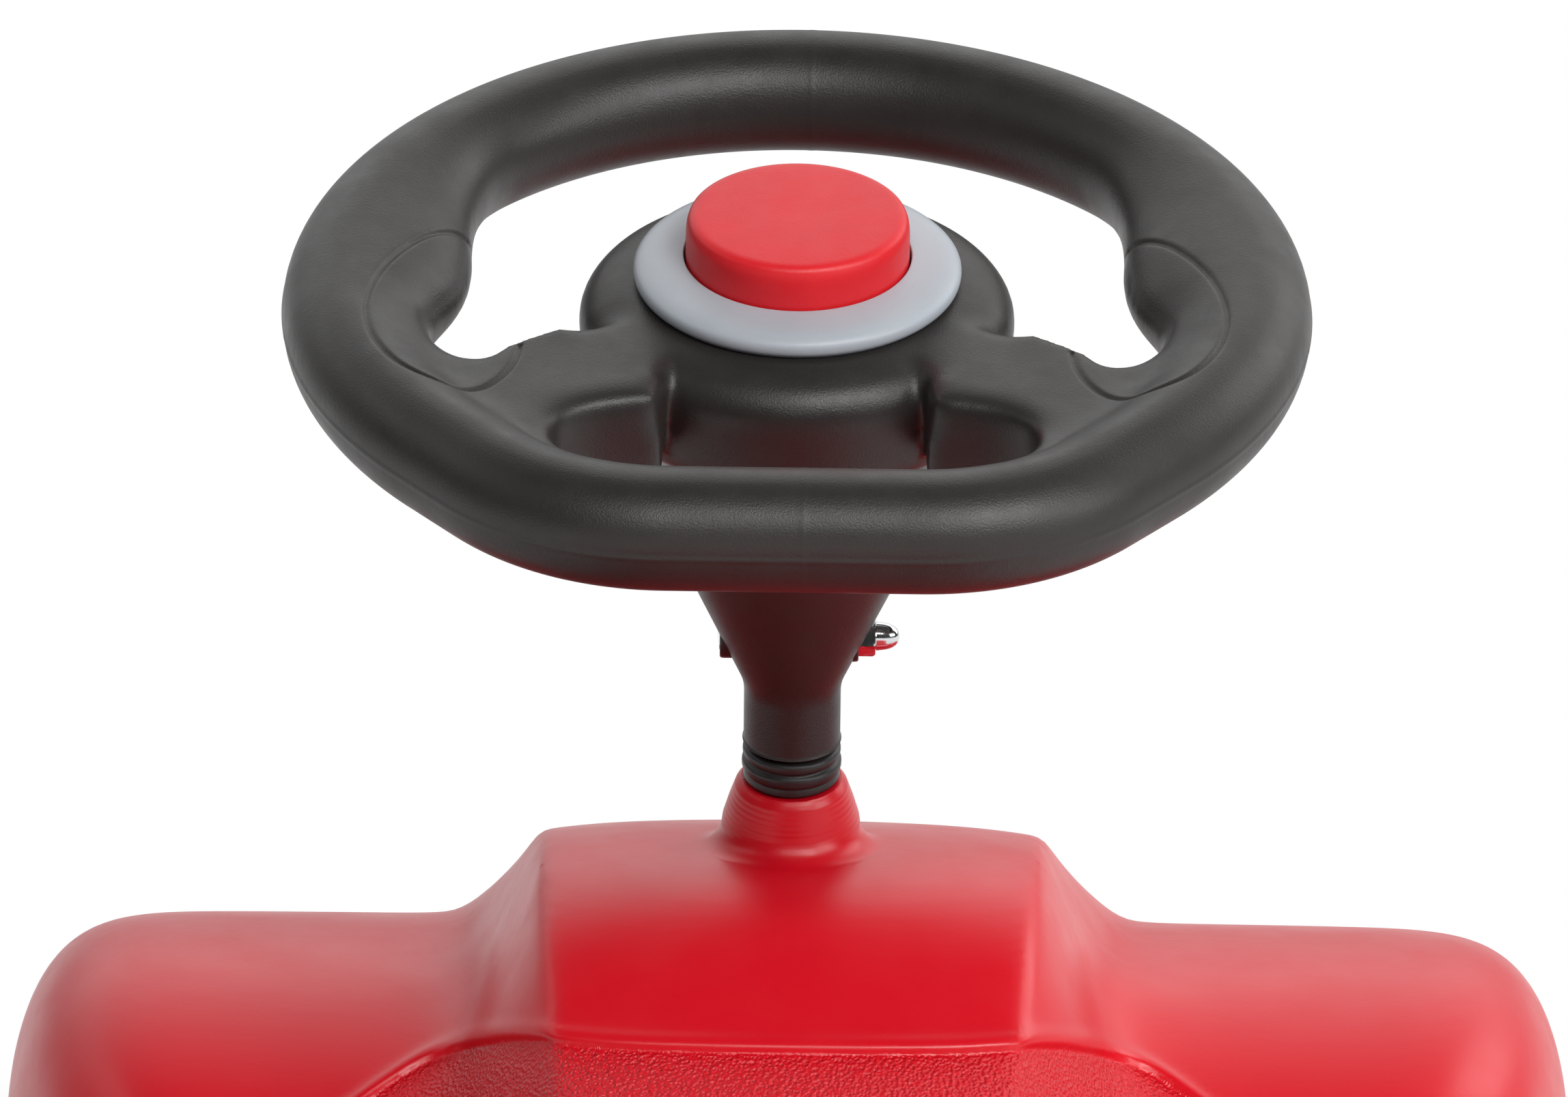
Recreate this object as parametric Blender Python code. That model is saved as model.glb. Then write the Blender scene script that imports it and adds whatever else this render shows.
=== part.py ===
"""Ride-on toy car with a steering column, a squeeze horn and four running wheels.

Metres, +Z up, +Y forwards, +X to the rider's right. The origin lies on the ground, midway along the body.
"""

import math

import bmesh
import bpy
import numpy as np
from mathutils import Matrix, Vector

# Body
BODY_LENGTH = 0.600
BODY_WIDTH = 0.309
HUMP_TOP = 0.2512
SEAT_HEIGHT = 0.187
FENDER_TOP = 0.2203
GROUND_CLEARANCE = 0.045
WALL = 0.0035

# Running gear
WHEEL_RADIUS = 0.060
WHEEL_WIDTH = 0.042
TYRE_THICKNESS = 0.010
TRACK = 0.212
FRONT_OVERHANG = 0.125
REAR_OVERHANG = 0.110
FRONT_AXLE_Y = BODY_LENGTH / 2 - FRONT_OVERHANG
REAR_AXLE_Y = REAR_OVERHANG - BODY_LENGTH / 2
AXLE_RADIUS = 0.005
FRONT_ARCH_GAP = 0.012
REAR_ARCH_GAP = 0.008
REAR_ARCH_CLEARANCE = 0.006
AXLE_END = 0.0030

# Steering
RAKE = math.radians(15)
STEER_LIMIT = math.radians(20)
RIM_HEIGHT = 0.365
RIM_RADIUS = 0.0860
RIM_TUBE_RADIUS = 0.0117
RIM_CORNER_RADIUS = 0.043
RIM_CORNER_OFFSET = 0.024
RIM_FLAT_DISTANCE = 0.0812
ROD_RADIUS = 0.0050
ROD_ENTRY = 0.020
WEB_TOP = 0.0080
WEB_BOTTOM = -0.0080
HUB_RADIUS = 0.0410
HUB_TOP = 0.0090
HUB_WALL_RADIUS = 0.0255
NECK_RADIUS = 0.0093
NECK_END = -0.0948
CONE_TOP = -0.0444
CONE_END = -0.0812

# Horn
BUTTON_RADIUS = 0.0210
BUTTON_TOP = 0.0230
BUTTON_TRAVEL = 0.006
RING_RADIUS = 0.0311
RING_THICKNESS = 0.0030
WELL_DEPTH = 0.036
WELL_GAP = 0.0008
BELLOWS_RADIUS = 0.0150
BELLOWS_RIBS = 3
SPIGOT_RADIUS = 0.0060

# Clamp bolt through the neck
BOLT_DROP = -0.0715
BOLT_RADIUS = 0.0020
BOLT_HEAD_RADIUS = 0.0038
BOLT_HEAD_HEIGHT = 0.0026
BOSS_RADIUS = 0.0052
HEAD_BOSS_REACH = 0.0142
NUT_BOSS_REACH = 0.0130
NUT_SEAT = 0.0118
NUT_ACROSS_FLATS = 0.0070
NUT_HEX_HEIGHT = 0.0032
NUT_HEIGHT = 0.0072

# Column bushes
COLLAR_RADIUS = 0.0095
COLLAR_HEIGHT = 0.0075
BUSH_RADIUS = 0.0075
BUSH_LENGTH = 0.014
FLANGE_RADIUS = 0.0120
FLANGE_THICKNESS = 0.003

# Front lamps
LAMP_RADIUS = 0.0230
LAMP_INSET = 0.0645
LAMP_SPREAD = BODY_WIDTH / 2 - LAMP_INSET
LAMP_HEIGHT = 0.1560
LAMP_SETBACK = 0.0150
LAMP_FACE = BODY_LENGTH / 2 - LAMP_SETBACK
LAMP_DEPTH = 0.030
LAMP_RIM = 0.0045

FIT = 0.0003
RUNNING = 0.0004
CUT_MARGIN = 0.050

for old in list(bpy.data.objects):
    bpy.data.objects.remove(old)


# Materials
def plastic(name, colour, roughness, metallic=0.0):
    made = bpy.data.materials.new(name)
    made.use_nodes = True
    shader = made.node_tree.nodes["Principled BSDF"]
    shader.inputs["Base Color"].default_value = (*colour, 1)
    shader.inputs["Roughness"].default_value = roughness
    shader.inputs["Metallic"].default_value = metallic
    made.diffuse_color = (*colour, 1)
    return made


RED_SHELL = plastic("red_shell", (0.66, 0.006, 0.016), 0.32)
RED_BUTTON = plastic("red_button", (0.74, 0.018, 0.024), 0.42)
BLACK_GRIP = plastic("black_grip", (0.030, 0.028, 0.027), 0.48)
BLACK_BUSH = plastic("black_bush", (0.020, 0.018, 0.018), 0.40)
GREY_RING = plastic("grey_ring", (0.34, 0.37, 0.41), 0.36)
BRIGHT_STEEL = plastic("bright_steel", (0.72, 0.74, 0.76), 0.16, 1.0)
DULL_STEEL = plastic("dull_steel", (0.46, 0.47, 0.48), 0.38, 1.0)
TYRE_BLACK = plastic("tyre_black", (0.018, 0.018, 0.018), 0.72)
CAP_GREY = plastic("cap_grey", (0.50, 0.52, 0.55), 0.34)
HORN_RUBBER = plastic("horn_rubber", (0.55, 0.52, 0.44), 0.60)
LAMP_LENS = plastic("lamp_lens", (0.80, 0.81, 0.79), 0.20)


# Mesh helpers
def add_object(name, mesh, material=None, parent=None):
    made = bpy.data.objects.new(name, mesh)
    bpy.context.scene.collection.objects.link(made)
    if material:
        mesh.materials.append(material)
    made.parent = parent
    return made


def add_frame(name, location, rotation=(0, 0, 0), parent=None):
    made = bpy.data.objects.new(name, None)
    bpy.context.scene.collection.objects.link(made)
    made.location = location
    made.rotation_euler = rotation
    made.parent = parent
    return made


def helper(made):
    made.hide_render = True
    made.display_type = "WIRE"
    return made


def finish_mesh(bm, name, smooth_angle=35):
    bmesh.ops.remove_doubles(bm, verts=bm.verts, dist=1e-6)
    bmesh.ops.recalc_face_normals(bm, faces=bm.faces)
    mesh = bpy.data.meshes.new(name)
    bm.to_mesh(mesh)
    bm.free()
    mesh.shade_smooth()
    mesh.set_sharp_from_angle(angle=math.radians(smooth_angle))
    return mesh


def lathe(name, profile, steps, closed=False, start=0.0):
    """A (radius, height) profile turned about local Z from the start angle. A closed profile has a bore."""
    bm = bmesh.new()
    along, across = math.cos(start), math.sin(start)
    points = [bm.verts.new((radius * along, radius * across, height)) for radius, height in profile]
    ends = points[1:] + points[:1] if closed else points[1:]
    edges = [bm.edges.new(pair) for pair in zip(points, ends)]
    bmesh.ops.spin(
        bm, geom=points + edges, cent=(0, 0, 0), axis=(0, 0, 1), angle=math.tau, steps=steps, use_merge=True
    )
    return finish_mesh(bm, name)


def prism(name, outline, low, high):
    """A plan outline, extruded from low to high along local Z."""
    bm = bmesh.new()
    face = bm.faces.new([bm.verts.new((x, y, low)) for x, y in outline])
    grown = bmesh.ops.extrude_face_region(bm, geom=[face])
    tops = [item for item in grown["geom"] if isinstance(item, bmesh.types.BMVert)]
    bmesh.ops.translate(bm, verts=tops, vec=(0, 0, high - low))
    return finish_mesh(bm, name)


def cylinder(name, radius, low, high, steps, start=0.0):
    return lathe(name, [(0, high), (radius, high), (radius, low), (0, low)], steps, start=start)


def cut(target, cutter, operation="DIFFERENCE"):
    modifier = target.modifiers.new(f"{operation.lower()}_{cutter.name}", "BOOLEAN")
    modifier.operation = operation
    modifier.object = helper(cutter)
    return modifier


def arc(centre, radius, start, end, steps):
    angles = np.linspace(math.radians(start), math.radians(end), steps + 1)
    return [(centre[0] + radius * math.cos(a), centre[1] + radius * math.sin(a)) for a in angles]


def smooth_line(points, y):
    """Height or width at y on a smooth curve through (y, value) points."""
    ys, values = (np.array(column, float) for column in zip(*points))
    slopes = np.gradient(values, ys)
    i = int(np.clip(np.searchsorted(ys, y) - 1, 0, len(ys) - 2))
    span = ys[i + 1] - ys[i]
    t = (y - ys[i]) / span
    left = (1 + 2 * t) * (1 - t) ** 2 * values[i] + t * (1 - t) ** 2 * span * slopes[i]
    right = t * t * (3 - 2 * t) * values[i + 1] - t * t * (1 - t) * span * slopes[i + 1]
    return left + right


# Frames: the steering frame has its origin at the middle of the rim, with local Z up the column.
AXLE_HEIGHT = WHEEL_RADIUS
COLUMN_LENGTH = (RIM_HEIGHT - AXLE_HEIGHT) / math.cos(RAKE)
RIM_Y = FRONT_AXLE_Y - COLUMN_LENGTH * math.sin(RAKE)
steering_frame = add_frame("steering_frame", (0, RIM_Y, RIM_HEIGHT), (RAKE, 0, 0))


def on_column(drop):
    """World place on the column's axis, at this height in the steering frame."""
    return Vector((0, RIM_Y - drop * math.sin(RAKE), RIM_HEIGHT + drop * math.cos(RAKE)))


# Body lines, each as (share of half the length, value) points from tail to nose
HALF_LENGTH = BODY_LENGTH / 2
HALF_WIDTH = BODY_WIDTH / 2
HIP_TOP = SEAT_HEIGHT + 0.002
BACKREST_TOP = SEAT_HEIGHT + 0.036
NOSE_HEIGHT = 0.136
SILL_HEIGHT = GROUND_CLEARANCE + 0.022
HUMP_SHOULDER = 0.0480
FLANK_FOOT = 0.0635

STATIONS = (
    -1, -0.955, -0.86, -0.73, -0.57, -0.38, -0.18, 0.0, 0.12, 0.20, 0.27, 0.35, 0.46, 0.58, 0.70, 0.82,
    0.93, 1,
)
CROWN_LINE = (
    (-1, 0.150), (-0.93, BACKREST_TOP - 0.020), (-0.80, BACKREST_TOP), (-0.66, SEAT_HEIGHT + 0.022),
    (-0.48, SEAT_HEIGHT + 0.006), (-0.28, SEAT_HEIGHT), (-0.08, SEAT_HEIGHT + 0.005),
    (0.08, SEAT_HEIGHT + 0.023), (0.20, HUMP_TOP - 0.021), (0.27, HUMP_TOP - 0.006),
    (0.34, HUMP_TOP + 0.001), (0.46, HUMP_TOP - 0.0005),
    (0.56, HUMP_TOP - 0.007), (0.70, HUMP_TOP - 0.029), (0.84, HUMP_TOP - 0.064), (0.94, 0.158),
    (1, NOSE_HEIGHT),
)
SHOULDER_LINE = (
    (-1, 0.030), (-0.80, 0.058), (-0.45, 0.062), (-0.10, 0.048), (0.16, 0.044), (0.35, HUMP_SHOULDER),
    (0.60, HUMP_SHOULDER + 0.001), (0.85, 0.050), (1, 0.034),
)
SHOULDER_DROP_LINE = (
    (-1, 0.006), (-0.6, 0.004), (-0.1, 0.006), (0.2, 0.004), (0.4, 0.003), (0.8, 0.004), (1, 0.006),
)
FLANK_FOOT_LINE = (
    (-1, 0.055), (-0.80, 0.084), (-0.45, 0.082), (-0.10, 0.066), (0.10, 0.066), (0.22, 0.073),
    (0.36, FLANK_FOOT), (0.60, FLANK_FOOT), (0.85, 0.070), (1, 0.050),
)
FENDER_LINE = (
    (-1, 0.140), (-0.93, 0.172), (-0.80, HIP_TOP), (-0.63, HIP_TOP), (-0.46, HIP_TOP - 0.014),
    (-0.22, HIP_TOP - 0.034), (0.02, HIP_TOP - 0.044), (0.16, HIP_TOP - 0.022), (0.28, FENDER_TOP - 0.027),
    (0.38, FENDER_TOP - 0.008),
    (0.50, FENDER_TOP), (0.60, FENDER_TOP - 0.001), (0.71, FENDER_TOP - 0.011), (0.84, FENDER_TOP - 0.037),
    (0.94, 0.150), (1, NOSE_HEIGHT - 0.014),
)
SIDE_LINE = (
    (-1, 0.092), (-0.93, 0.122), (-0.80, 0.143), (-0.63, HALF_WIDTH - 0.003), (-0.47, 0.144), (-0.30, 0.120),
    (-0.12, 0.096), (0.04, 0.091), (0.16, 0.106), (0.27, 0.131), (0.37, 0.147), (0.50, HALF_WIDTH),
    (0.68, HALF_WIDTH), (0.83, 0.145), (0.94, 0.124), (1, 0.094),
)
SIDE_HEIGHT_LINE = (
    (-1, 0.115), (-0.6, 0.135), (0.0, 0.110), (0.3, 0.150), (0.55, 0.170), (0.8, 0.140), (1, 0.110),
)
SILL_INSET = 0.008
FLOOR_INSET = 0.026
SHOULDER_ROUND = 0.014


def body_section(share, inset):
    """Half a section at one station, from the crown to the middle of the floor, drawn in by the inset."""
    crown = smooth_line(CROWN_LINE, share)
    shoulder = smooth_line(SHOULDER_LINE, share)
    edge = crown - smooth_line(SHOULDER_DROP_LINE, share)
    foot = smooth_line(FLANK_FOOT_LINE, share)
    fender = smooth_line(FENDER_LINE, share)
    side = smooth_line(SIDE_LINE, share)
    side_height = smooth_line(SIDE_HEIGHT_LINE, share)
    upper = [
        (0, crown),
        (0.70 * shoulder, crown - 0.25 * (crown - edge)),
        (shoulder, edge),
        (0.40 * shoulder + 0.60 * foot, 0.40 * edge + 0.60 * fender),
        (foot, fender),
        (0.45 * foot + 0.55 * side, fender),
        (side - SHOULDER_ROUND, fender - 0.001),
        (side - 0.003, 0.60 * fender + 0.40 * side_height),
    ]
    floor_edge = side - FLOOR_INSET
    lower = [
        (side - SILL_INSET, SILL_HEIGHT),
        (floor_edge, GROUND_CLEARANCE),
        (0.60 * floor_edge, GROUND_CLEARANCE),
        (0, GROUND_CLEARANCE),
    ]
    drawn_upper = [(max(x - inset, 0), z - inset) for x, z in upper]
    drawn_lower = [(max(x - inset, 0), z + inset) for x, z in lower]
    return drawn_upper + [(side - inset, side_height)] + drawn_lower


def body_cage(name, inset):
    """Rings of section points from tail to nose, closed across both ends."""
    bm = bmesh.new()
    rings = []
    for share in STATIONS:
        half = body_section(share, inset)
        loop = half + [(-x, z) for x, z in reversed(half[1:-1])]
        rings.append([bm.verts.new((x, share * (HALF_LENGTH - inset), z)) for x, z in loop])
    around = len(rings[0])
    for ring, ahead in zip(rings, rings[1:]):
        for i in range(around):
            j = (i + 1) % around
            bm.faces.new((ring[i], ring[j], ahead[j], ahead[i]))
    for ring in (rings[0], rings[-1]):
        for i in range(around // 2):
            corners = [ring[i], ring[i + 1], ring[-i - 1], ring[-i % around]]
            bm.faces.new(list(dict.fromkeys(corners)))
    return finish_mesh(bm, name)


def body_solid(name, inset):
    made = add_object(name, body_cage(name, inset), RED_SHELL)
    rounding = made.modifiers.new("rounding", "SUBSURF")
    rounding.levels = 1
    rounding.render_levels = 1
    if inset:
        thin = made.modifiers.new("thin", "DECIMATE")
        thin.ratio = 0.5
        thin.use_symmetry = True
        thin.symmetry_axis = "X"
    return made


# Wheel arches: the front one is a tunnel wide enough for the axle's swing, the rear ones are pockets.
WHEEL_OUTER = TRACK / 2 + WHEEL_WIDTH / 2
STEER_SWING = WHEEL_OUTER * math.sin(STEER_LIMIT)
STEER_LIFT = WHEEL_OUTER * math.sin(STEER_LIMIT) * math.sin(RAKE)
ARCH_STEPS = 8
SIDE_REACH = HALF_WIDTH + CUT_MARGIN
REAR_ARCH_WALL = TRACK / 2 - WHEEL_WIDTH / 2 - REAR_ARCH_CLEARANCE


def arch_outline(radius, swing, lift):
    """A round-topped opening in (y, z), open below the floor, about an axle at (0, 0)."""
    below = -AXLE_HEIGHT
    ahead = arc((swing, lift), radius, 0, 90, ARCH_STEPS)
    behind = arc((-swing, lift), radius, 90, 180, ARCH_STEPS)
    return [(swing + radius, below)] + ahead + behind + [(-swing - radius, below)]


def arch_cutter(name, axle_y, outline, near, far):
    """The outline swept along X from near to far."""
    made = add_object(name, prism(name, outline, near, far))
    turn = Matrix(((0, 0, 1), (1, 0, 0), (0, 1, 0))).to_4x4()
    made.matrix_world = Matrix.Translation((0, axle_y, AXLE_HEIGHT)) @ turn
    return made


def arch_cutters(label, grown):
    front = arch_outline(WHEEL_RADIUS + FRONT_ARCH_GAP + grown, STEER_SWING, STEER_LIFT)
    rear = arch_outline(WHEEL_RADIUS + REAR_ARCH_GAP + grown, 0, 0)
    inner = REAR_ARCH_WALL - grown
    return (
        arch_cutter(f"front_tunnel_{label}", FRONT_AXLE_Y, front, -SIDE_REACH, SIDE_REACH),
        arch_cutter(f"rear_right_arch_{label}", REAR_AXLE_Y, rear, inner, SIDE_REACH),
        arch_cutter(f"rear_left_arch_{label}", REAR_AXLE_Y, rear, -SIDE_REACH, -inner),
    )


# Places on the column, as heights in the steering frame
COLLAR_TOP = NECK_END - 0.0005
COLLAR_FOOT = COLLAR_TOP - COLLAR_HEIGHT
SPOUT_TOP = COLLAR_FOOT - FIT
SPOUT_FOOT = SPOUT_TOP - 0.030
TUNNEL_ROOF = AXLE_HEIGHT + STEER_LIFT + WHEEL_RADIUS + FRONT_ARCH_GAP
ROOF_ON_COLUMN = (TUNNEL_ROOF - RIM_HEIGHT) / math.cos(RAKE)
BORE_STEPS = 20


def column_spout():
    """The raised mouth of the shell that the column comes out of."""
    profile = [
        (0, SPOUT_TOP),
        (COLLAR_RADIUS + 0.0002, SPOUT_TOP),
        (COLLAR_RADIUS + 0.0013, SPOUT_TOP - 0.0014),
        (COLLAR_RADIUS + 0.0026, SPOUT_TOP - 0.0052),
        (COLLAR_RADIUS + 0.0040, SPOUT_TOP - 0.0100),
        (COLLAR_RADIUS + 0.0040, SPOUT_FOOT),
        (0, SPOUT_FOOT),
    ]
    return add_object("column_spout", lathe("column_spout", profile, BORE_STEPS), parent=steering_frame)


def lamp_place(side):
    place = Matrix.Translation((side * LAMP_SPREAD, LAMP_FACE, LAMP_HEIGHT))
    return place @ Matrix.Rotation(-math.pi / 2, 4, "X")


def build_body():
    shell = body_solid("body_shell", 0)
    cavity = body_solid("shell_cavity", WALL)
    for cutter in arch_cutters("walls", WALL):
        cut(cavity, cutter)
    cut(shell, column_spout(), "UNION")
    for side, label in ((1, "right"), (-1, "left")):
        block = cylinder("lamp_housing", LAMP_RADIUS + LAMP_RIM, -LAMP_DEPTH, 0, 28)
        housing = add_object(f"lamp_housing_{label}", block)
        housing.matrix_world = lamp_place(side)
        cut(shell, housing, "UNION")
    for cutter in arch_cutters("openings", 0):
        cut(shell, cutter)
    cut(shell, cavity)
    upper = cylinder("upper_bore", BUSH_RADIUS + FIT, SPOUT_FOOT - 0.03, SPOUT_TOP + 0.01, BORE_STEPS)
    cut(shell, add_object("upper_bore", upper, parent=steering_frame))
    low, high = ROOF_ON_COLUMN - 0.02, ROOF_ON_COLUMN + 0.03
    lower = cylinder("lower_bore", BUSH_RADIUS + FIT, low, high, BORE_STEPS)
    cut(shell, add_object("lower_bore", lower, parent=steering_frame))
    axle_hole = add_object("axle_hole", cylinder("axle_hole", AXLE_RADIUS + FIT, -HALF_WIDTH, HALF_WIDTH, 16))
    axle_hole.matrix_world = axle_place(REAR_AXLE_Y)
    cut(shell, axle_hole)
    for side, label in ((1, "right"), (-1, "left")):
        room = cylinder("lamp_recess", LAMP_RADIUS + FIT, -0.004, 0.02, 28)
        recess = add_object(f"lamp_recess_{label}", room)
        recess.matrix_world = lamp_place(side)
        cut(shell, recess)
        lens_profile = [
            (0, -0.0004), (LAMP_RADIUS * 0.6, -0.0011), (LAMP_RADIUS, -0.0022), (LAMP_RADIUS, -0.0037),
            (0, -0.0037),
        ]
        lens = add_object(f"lamp_lens_{label}", lathe("lamp_lens", lens_profile, 28), LAMP_LENS)
        lens.matrix_world = lamp_place(side)


# Axles and wheels
def axle_place(y):
    """Local Z along the axle, towards +X."""
    return Matrix.Translation((0, y, AXLE_HEIGHT)) @ Matrix.Rotation(math.pi / 2, 4, "Y")


HUB_HALF = WHEEL_WIDTH / 2 - 0.004
WASHER_THICKNESS = 0.0015
AXLE_HALF = TRACK / 2 + HUB_HALF + WASHER_THICKNESS + AXLE_END
WHEEL_STEPS = 20
RIM_SEAT = WHEEL_RADIUS - TYRE_THICKNESS


def tyre_mesh():
    half = WHEEL_WIDTH / 2
    shoulder = 0.006
    profile = [
        (RIM_SEAT + FIT, half - 0.003),
        (WHEEL_RADIUS - shoulder, half),
        (WHEEL_RADIUS - 0.0015, half - 0.004),
        (WHEEL_RADIUS, half - 0.010),
        (WHEEL_RADIUS, -half + 0.010),
        (WHEEL_RADIUS - 0.0015, -half + 0.004),
        (WHEEL_RADIUS - shoulder, -half),
        (RIM_SEAT + FIT, -half + 0.003),
    ]
    return lathe("tyre", profile, WHEEL_STEPS, closed=True)


def wheel_disc_mesh():
    """The moulded wheel: a rim, a dished web and a hub on the axle. Local Z points away from the car."""
    half = WHEEL_WIDTH / 2 - 0.003
    bore = AXLE_RADIUS + RUNNING
    hub = AXLE_RADIUS + 0.007
    flange = RIM_SEAT - 0.006
    profile = [
        (RIM_SEAT, half), (RIM_SEAT, -half), (flange, -half), (flange, -0.002), (hub, -0.002),
        (hub, -HUB_HALF), (bore, -HUB_HALF), (bore, HUB_HALF), (hub, HUB_HALF), (hub, 0.005), (flange, 0.005),
        (flange, half),
    ]
    return lathe("wheel_disc", profile, WHEEL_STEPS, closed=True)


CAP_RADIUS = RIM_SEAT - 0.0065
CAP_SEAT = 0.005 + FIT
CAP_CROWN = WHEEL_WIDTH / 2 + 0.0065


def cap_mesh():
    """A domed hub cap that plugs into the wheel's outer face, hollow over the axle's end."""
    outer = CAP_RADIUS
    inner = CAP_RADIUS - 0.003
    lip = WHEEL_WIDTH / 2 - 0.004
    profile = [
        (0, CAP_CROWN), (outer * 0.45, CAP_CROWN - 0.001), (outer * 0.80, CAP_CROWN - 0.004), (outer, lip),
        (outer, CAP_SEAT), (inner, CAP_SEAT), (inner, lip - 0.002), (outer * 0.75, CAP_CROWN - 0.0070),
        (outer * 0.42, CAP_CROWN - 0.0038), (0, CAP_CROWN - 0.0030),
    ]
    return lathe("hub_cap", profile, WHEEL_STEPS)


def washer_mesh():
    bore = AXLE_RADIUS + FIT
    low = HUB_HALF + FIT
    high = low + WASHER_THICKNESS - FIT
    return lathe("washer", [(0.010, high), (0.010, low), (bore, low), (bore, high)], 16, closed=True)


def retainer_mesh():
    """A pressed steel cap pushed onto the axle's end."""
    bore = AXLE_RADIUS + FIT
    low = HUB_HALF + WASHER_THICKNESS + FIT
    end = AXLE_HALF - TRACK / 2
    profile = [
        (0, end + 0.0018), (0.005, end + 0.0013), (0.0065, end), (0.0090, low), (bore, low),
        (bore, end + FIT), (0, end + FIT),
    ]
    return lathe("retainer", profile, 16)


def build_wheels():
    meshes = {
        "tyre": (tyre_mesh(), TYRE_BLACK),
        "disc": (wheel_disc_mesh(), BLACK_GRIP),
        "hub_cap": (cap_mesh(), CAP_GREY),
        "washer": (washer_mesh(), DULL_STEEL),
        "axle_retainer": (retainer_mesh(), BRIGHT_STEEL),
    }
    for end, y in (("front", FRONT_AXLE_Y), ("rear", REAR_AXLE_Y)):
        for side, label in ((1, "right"), (-1, "left")):
            place = (side * TRACK / 2, y, AXLE_HEIGHT)
            frame = add_frame(f"{end}_{label}_hub", place, (0, side * math.pi / 2, 0))
            for piece, (mesh, material) in meshes.items():
                made = add_object(f"{end}_{label}_{piece}", mesh, parent=frame)
                if not mesh.materials:
                    mesh.materials.append(material)
                made.parent = frame


SPACER_RADIUS = 0.0085


def build_axles():
    for end, y in (("front", FRONT_AXLE_Y), ("rear", REAR_AXLE_Y)):
        axle = add_object(f"{end}_axle", cylinder("axle", AXLE_RADIUS, -AXLE_HALF, AXLE_HALF, 16), DULL_STEEL)
        axle.matrix_world = axle_place(y)
    inner_face = TRACK / 2 - HUB_HALF - FIT
    for end, y, seat in (("front", FRONT_AXLE_Y, CROSS_HALF), ("rear", REAR_AXLE_Y, REAR_ARCH_WALL)):
        for side, label in ((1, "right"), (-1, "left")):
            low, high = seat + FIT, inner_face
            bore = AXLE_RADIUS + FIT
            ring = [(SPACER_RADIUS, high), (SPACER_RADIUS, low), (bore, low), (bore, high)]
            spacer = add_object(f"{end}_{label}_spacer", lathe("spacer", ring, 16, closed=True), BLACK_BUSH)
            turn = Matrix.Rotation(side * math.pi / 2, 4, "Y")
            spacer.matrix_world = Matrix.Translation((0, y, AXLE_HEIGHT)) @ turn


# Column
CROSS_RADIUS = 0.0095
CROSS_HALF = 0.030
ROD_SEAT = CROSS_RADIUS + FIT
ROD_TOP = BOLT_DROP + ROD_ENTRY


def build_column():
    rod_low = -COLUMN_LENGTH + ROD_SEAT
    bar = cylinder("steering_rod", ROD_RADIUS, rod_low, ROD_TOP, 20)
    rod = add_object("steering_rod", bar, DULL_STEEL, steering_frame)
    cut(rod, bolt_bore("rod_cross_hole"))
    bore = AXLE_RADIUS + FIT
    tube = [(CROSS_RADIUS, CROSS_HALF), (CROSS_RADIUS, -CROSS_HALF), (bore, -CROSS_HALF), (bore, CROSS_HALF)]
    cross = add_object("axle_cross_tube", lathe("axle_cross_tube", tube, 20, closed=True), DULL_STEEL)
    cross.matrix_world = axle_place(FRONT_AXLE_Y)
    add_object("column_collar", collar_mesh(), BLACK_BUSH, steering_frame)
    bush = [
        (BUSH_RADIUS, ROOF_ON_COLUMN + BUSH_LENGTH),
        (BUSH_RADIUS, LOWER_FLANGE),
        (FLANGE_RADIUS, LOWER_FLANGE),
        (FLANGE_RADIUS, LOWER_FLANGE - FLANGE_THICKNESS),
        (ROD_RADIUS + RUNNING, LOWER_FLANGE - FLANGE_THICKNESS),
        (ROD_RADIUS + RUNNING, ROOF_ON_COLUMN + BUSH_LENGTH),
    ]
    add_object("lower_bush", lathe("lower_bush", bush, BORE_STEPS, closed=True), BLACK_BUSH, steering_frame)


# The bush's flange is square to the column and the roof is level, so its high edge sets the seat.
LOWER_FLANGE = ROOF_ON_COLUMN - FLANGE_RADIUS * math.tan(RAKE) - FIT


def collar_mesh():
    """The ribbed collar between the wheel's neck and the shell, with a spigot down into the spout."""
    bore = ROD_RADIUS + RUNNING
    outer = COLLAR_RADIUS
    groove = COLLAR_RADIUS - 0.0006
    rib = COLLAR_HEIGHT / 2
    profile = [
        (outer - 0.0012, COLLAR_TOP), (outer, COLLAR_TOP - 0.0010), (outer, COLLAR_TOP - rib + 0.0007),
        (groove, COLLAR_TOP - rib), (outer, COLLAR_TOP - rib - 0.0007), (outer, COLLAR_FOOT + 0.0008),
        (outer - 0.0008, COLLAR_FOOT), (BUSH_RADIUS, COLLAR_FOOT), (BUSH_RADIUS, COLLAR_FOOT - BUSH_LENGTH),
        (bore, COLLAR_FOOT - BUSH_LENGTH), (bore, COLLAR_TOP),
    ]
    return lathe("column_collar", profile, BORE_STEPS, closed=True)


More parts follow.
